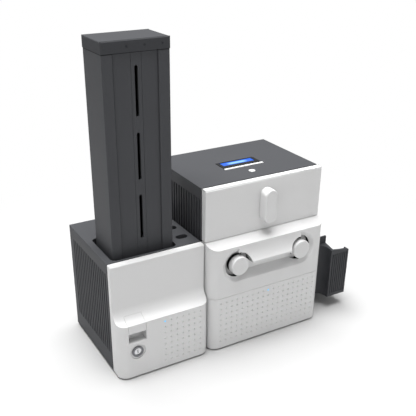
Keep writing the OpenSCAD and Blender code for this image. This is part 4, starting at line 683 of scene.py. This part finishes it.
glossy_black_abs = finish("glossy_black_abs", gloss_black)
dress(["display_panel"], finish("lit_blue_glass", lit_glass))
shape = copy_of("display_bezel")
mark(shape, 0.6, outline("display_bezel", 0.6))
settle("display_bezel", shape, [glossy_black_abs], 0.6)
for node in ("key_1", "key_2", "key_3", "key_4"):
    shape = copy_of(node)
    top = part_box(node)[1][2] * 1000
    mark(shape, 0.5, lambda middle, edge: 0.5 if abs(middle.z - top) < near_mm else 0.0)
    settle(node, shape, [silver_abs], 0.5, 2)
settle("round_button", copy_of("round_button"), [silver_abs])


# Output hopper: one moulding of dark ABS that hangs on the casing's right side,
# with ribs inside its front. It is smoother than the paint and shines more.
moulded_dark_abs = finish("moulded_dark_abs", textured("#3A3B3E", 0.42, 0.6))
shape = copy_of("output_hopper")
mark(shape, 0.7, outline("output_hopper", 0.7))
settle("output_hopper", shape, [moulded_dark_abs], 0.7)


# Card transport: ground rubber sleeves on turned steel shafts, with pulleys and
# a gear moulded from white acetal. A toothed belt of black rubber and two motors
# in black anodised housings drive them.
def coat(name, materials, rule):
    """Gives a CAD node several finishes, by the number that a rule gives each face.

    The rule has the face's middle in mm, from the node's own axis and from its box's low corner.
    """
    data = frame["nodes"][name].data
    low, high = map(Vector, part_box(name))
    data.materials.clear()
    for material in materials:
        data.materials.append(material)
    for face in data.polygons:
        from_axis = (face.center - (low + high) / 2) * 1000
        face.material_index = rule(from_axis, (face.center - low) * 1000)


moulded_white = finish("moulded_white", textured("#E4E4DE", 0.36, 0.5))
shaft_r = 4
pinch_shaft_r = 2.7
for node, wheel_from in (("platen_roller", 95), ("entry_roller", 95), ("exit_roller", 95), ("pick_roller", 66)):
    coat(node, [turned_steel, black_rubber, moulded_white],
         lambda off, up: 0 if math.hypot(off.x, off.z) < shaft_r else 2 if up.y > wheel_from else 1)
for node in ("entry_pinch", "exit_pinch"):
    coat(node, [turned_steel, black_rubber], lambda off, up: int(math.hypot(off.x, off.z) > pinch_shaft_r))
dress(["drive_belt"], black_rubber)
anodised_black = finish("anodised_black", machined("#26272A", 0.38))
shortest = 0.02
for node, corner in (("drive_motor", 4.0), ("pick_motor", 5.0)):
    low, high = [place * 1000 for place in map(Vector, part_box(node))]

    def motor_rule(middle, edge):
        """The housing's four long edges, which run along the shaft. The shortest is in metres."""
        at_side = min(abs(middle.x - low.x), abs(middle.x - high.x)) < near_mm
        at_end = min(abs(middle.z - low.z), abs(middle.z - high.z)) < near_mm
        return corner if at_side and at_end and edge.calc_length() > shortest else 0.0

    shape = copy_of(node)
    mark(shape, corner, motor_rule)
    settle(node, shape, [anodised_black], corner, 4)


# Print head: a milled aluminium block with fins, clear anodised to a satin grey.
# Below it a ceramic edge with a glossy black glaze presses on the card, and two
# bright guide posts of steel stand on it.
clear_anodised = finish("clear_anodised", machined("#B4B6B8", 0.34))
edge_top = 8.2
posts_from = 39.2
coat("print_head", [clear_anodised, glossy_black_abs, turned_steel],
     lambda off, up: 1 if up.z < edge_top else 2 if up.z > posts_from else 0)


# Ribbon: four panels of dye in a row on a thin polyester film, glossy and a
# little creased. It is wound on moulded white cores, which slip over the
# spindles of the drawer's carrier of black ABS.
def dye_panels(tree):
    place = add(tree, "ShaderNodeTexCoord")
    axes = add(tree, "ShaderNodeSeparateXYZ", links={"Vector": place.outputs["Object"]})
    along = add(tree, "ShaderNodeMapRange", {"From Min": -0.03, "From Max": 0.12}, {"Value": axes.outputs["X"]})
    ramp = add(tree, "ShaderNodeValToRGB", links={"Fac": along.outputs[0]})
    ramp.color_ramp.interpolation = "CONSTANT"
    ramp.color_ramp.elements[0].color = linear("#D9B21C")
    ramp.color_ramp.elements[1].color = linear("#141416")
    ramp.color_ramp.elements[1].position = 0.78
    for at, code in ((0.26, "#B0246E"), (0.52, "#1E7FB8")):
        ramp.color_ramp.elements.new(at).color = linear(code)
    crease = add(tree, "ShaderNodeTexNoise", {"Scale": per_metre(22.2), "Detail": 3.0},
                 {"Vector": place.outputs["Object"]})
    bump = add(tree, "ShaderNodeBump", {"Strength": 0.12, "Distance": 0.0004}, {"Height": crease.outputs[0]})
    skin = add(tree, "ShaderNodeBsdfPrincipled", {"Roughness": 0.22, "IOR": 1.55},
               {"Base Color": ramp.outputs[0], "Normal": bump.outputs[0]})
    return skin.outputs[0]


def wound_film(tree):
    """Fine rings on the roll's ends, one to 0.7 mm, coarser than the real film so that they show."""
    place = add(tree, "ShaderNodeTexCoord")
    low, high = map(Vector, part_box("supply_film"))
    axis = ((low.x + high.x) / 2, 0, (low.z + high.z) / 2)
    flat = add(tree, "ShaderNodeVectorMath", {1: (1, 0, 1)}, {0: place.outputs["Object"]}, operation="MULTIPLY")
    out = add(tree, "ShaderNodeVectorMath", {1: axis}, {0: flat.outputs[0]}, operation="DISTANCE")
    turns = add(tree, "ShaderNodeMath", {1: math.tau * per_metre(0.698)}, {0: out.outputs["Value"]},
                operation="MULTIPLY")
    lines = add(tree, "ShaderNodeMath", links={0: turns.outputs[0]}, operation="SINE")
    tint = add(tree, "ShaderNodeMapRange", {"From Min": -1.0}, {"Value": lines.outputs[0]})
    colour = add(tree, "ShaderNodeMix", {"A": linear("#16161A"), "B": linear("#4A3350")},
                 {"Factor": tint.outputs[0]}, data_type="RGBA")
    skin = add(tree, "ShaderNodeBsdfPrincipled", {"Roughness": 0.3, "IOR": 1.55},
               {"Base Color": colour.outputs["Result"]})
    return skin.outputs[0]


dress(["ribbon_web"], finish("dye_film", dye_panels))
dress(["supply_film"], finish("wound_dye_film", wound_film))
dress(["supply_core", "takeup_core"], moulded_white)
moulded_black_abs = finish("moulded_black_abs", textured("#1B1C1E", 0.42, 0.5))
dress(["drawer_frame", "power_inlet", "power_switch"], moulded_black_abs)


# Electronics: a circuit board under a glossy green mask, with paler lines of
# copper under it, a black chip and two plated sockets at the back. The power
# supply has a folded aluminium case in the print head's satin grey.
def solder_mask(tree):
    place = add(tree, "ShaderNodeTexCoord")
    track = add(tree, "ShaderNodeTexVoronoi", {"Scale": per_metre(2.38)}, {"Vector": place.outputs["Object"]},
                feature="DISTANCE_TO_EDGE")
    wire = add(tree, "ShaderNodeMapRange", {"From Min": 0.05, "From Max": 0.12}, {"Value": track.outputs[0]})
    colour = add(tree, "ShaderNodeMix", {"A": linear("#2F7A4C"), "B": linear("#185234")},
                 {"Factor": wire.outputs[0]}, data_type="RGBA")
    skin = add(tree, "ShaderNodeBsdfPrincipled", {"Roughness": 0.3, "IOR": 1.5},
               {"Base Color": colour.outputs["Result"]})
    return skin.outputs[0]


board_low = 15.4
board_high = 17.2
sockets_from = 36


def board_rule(off, up):
    """Steel studs below the board, the green board, and on it the plated sockets and a black chip."""
    if up.z < board_low:
        return 2
    if up.z < board_high:
        return 0
    return 2 if up.y > sockets_from else 1


coat("main_board", [finish("green_board", solder_mask), moulded_black_abs, turned_steel], board_rule)
shape = copy_of("power_supply")
mark(shape, 1.0, lambda middle, edge: 1.0)
settle("power_supply", shape, [clear_anodised], 1.0)
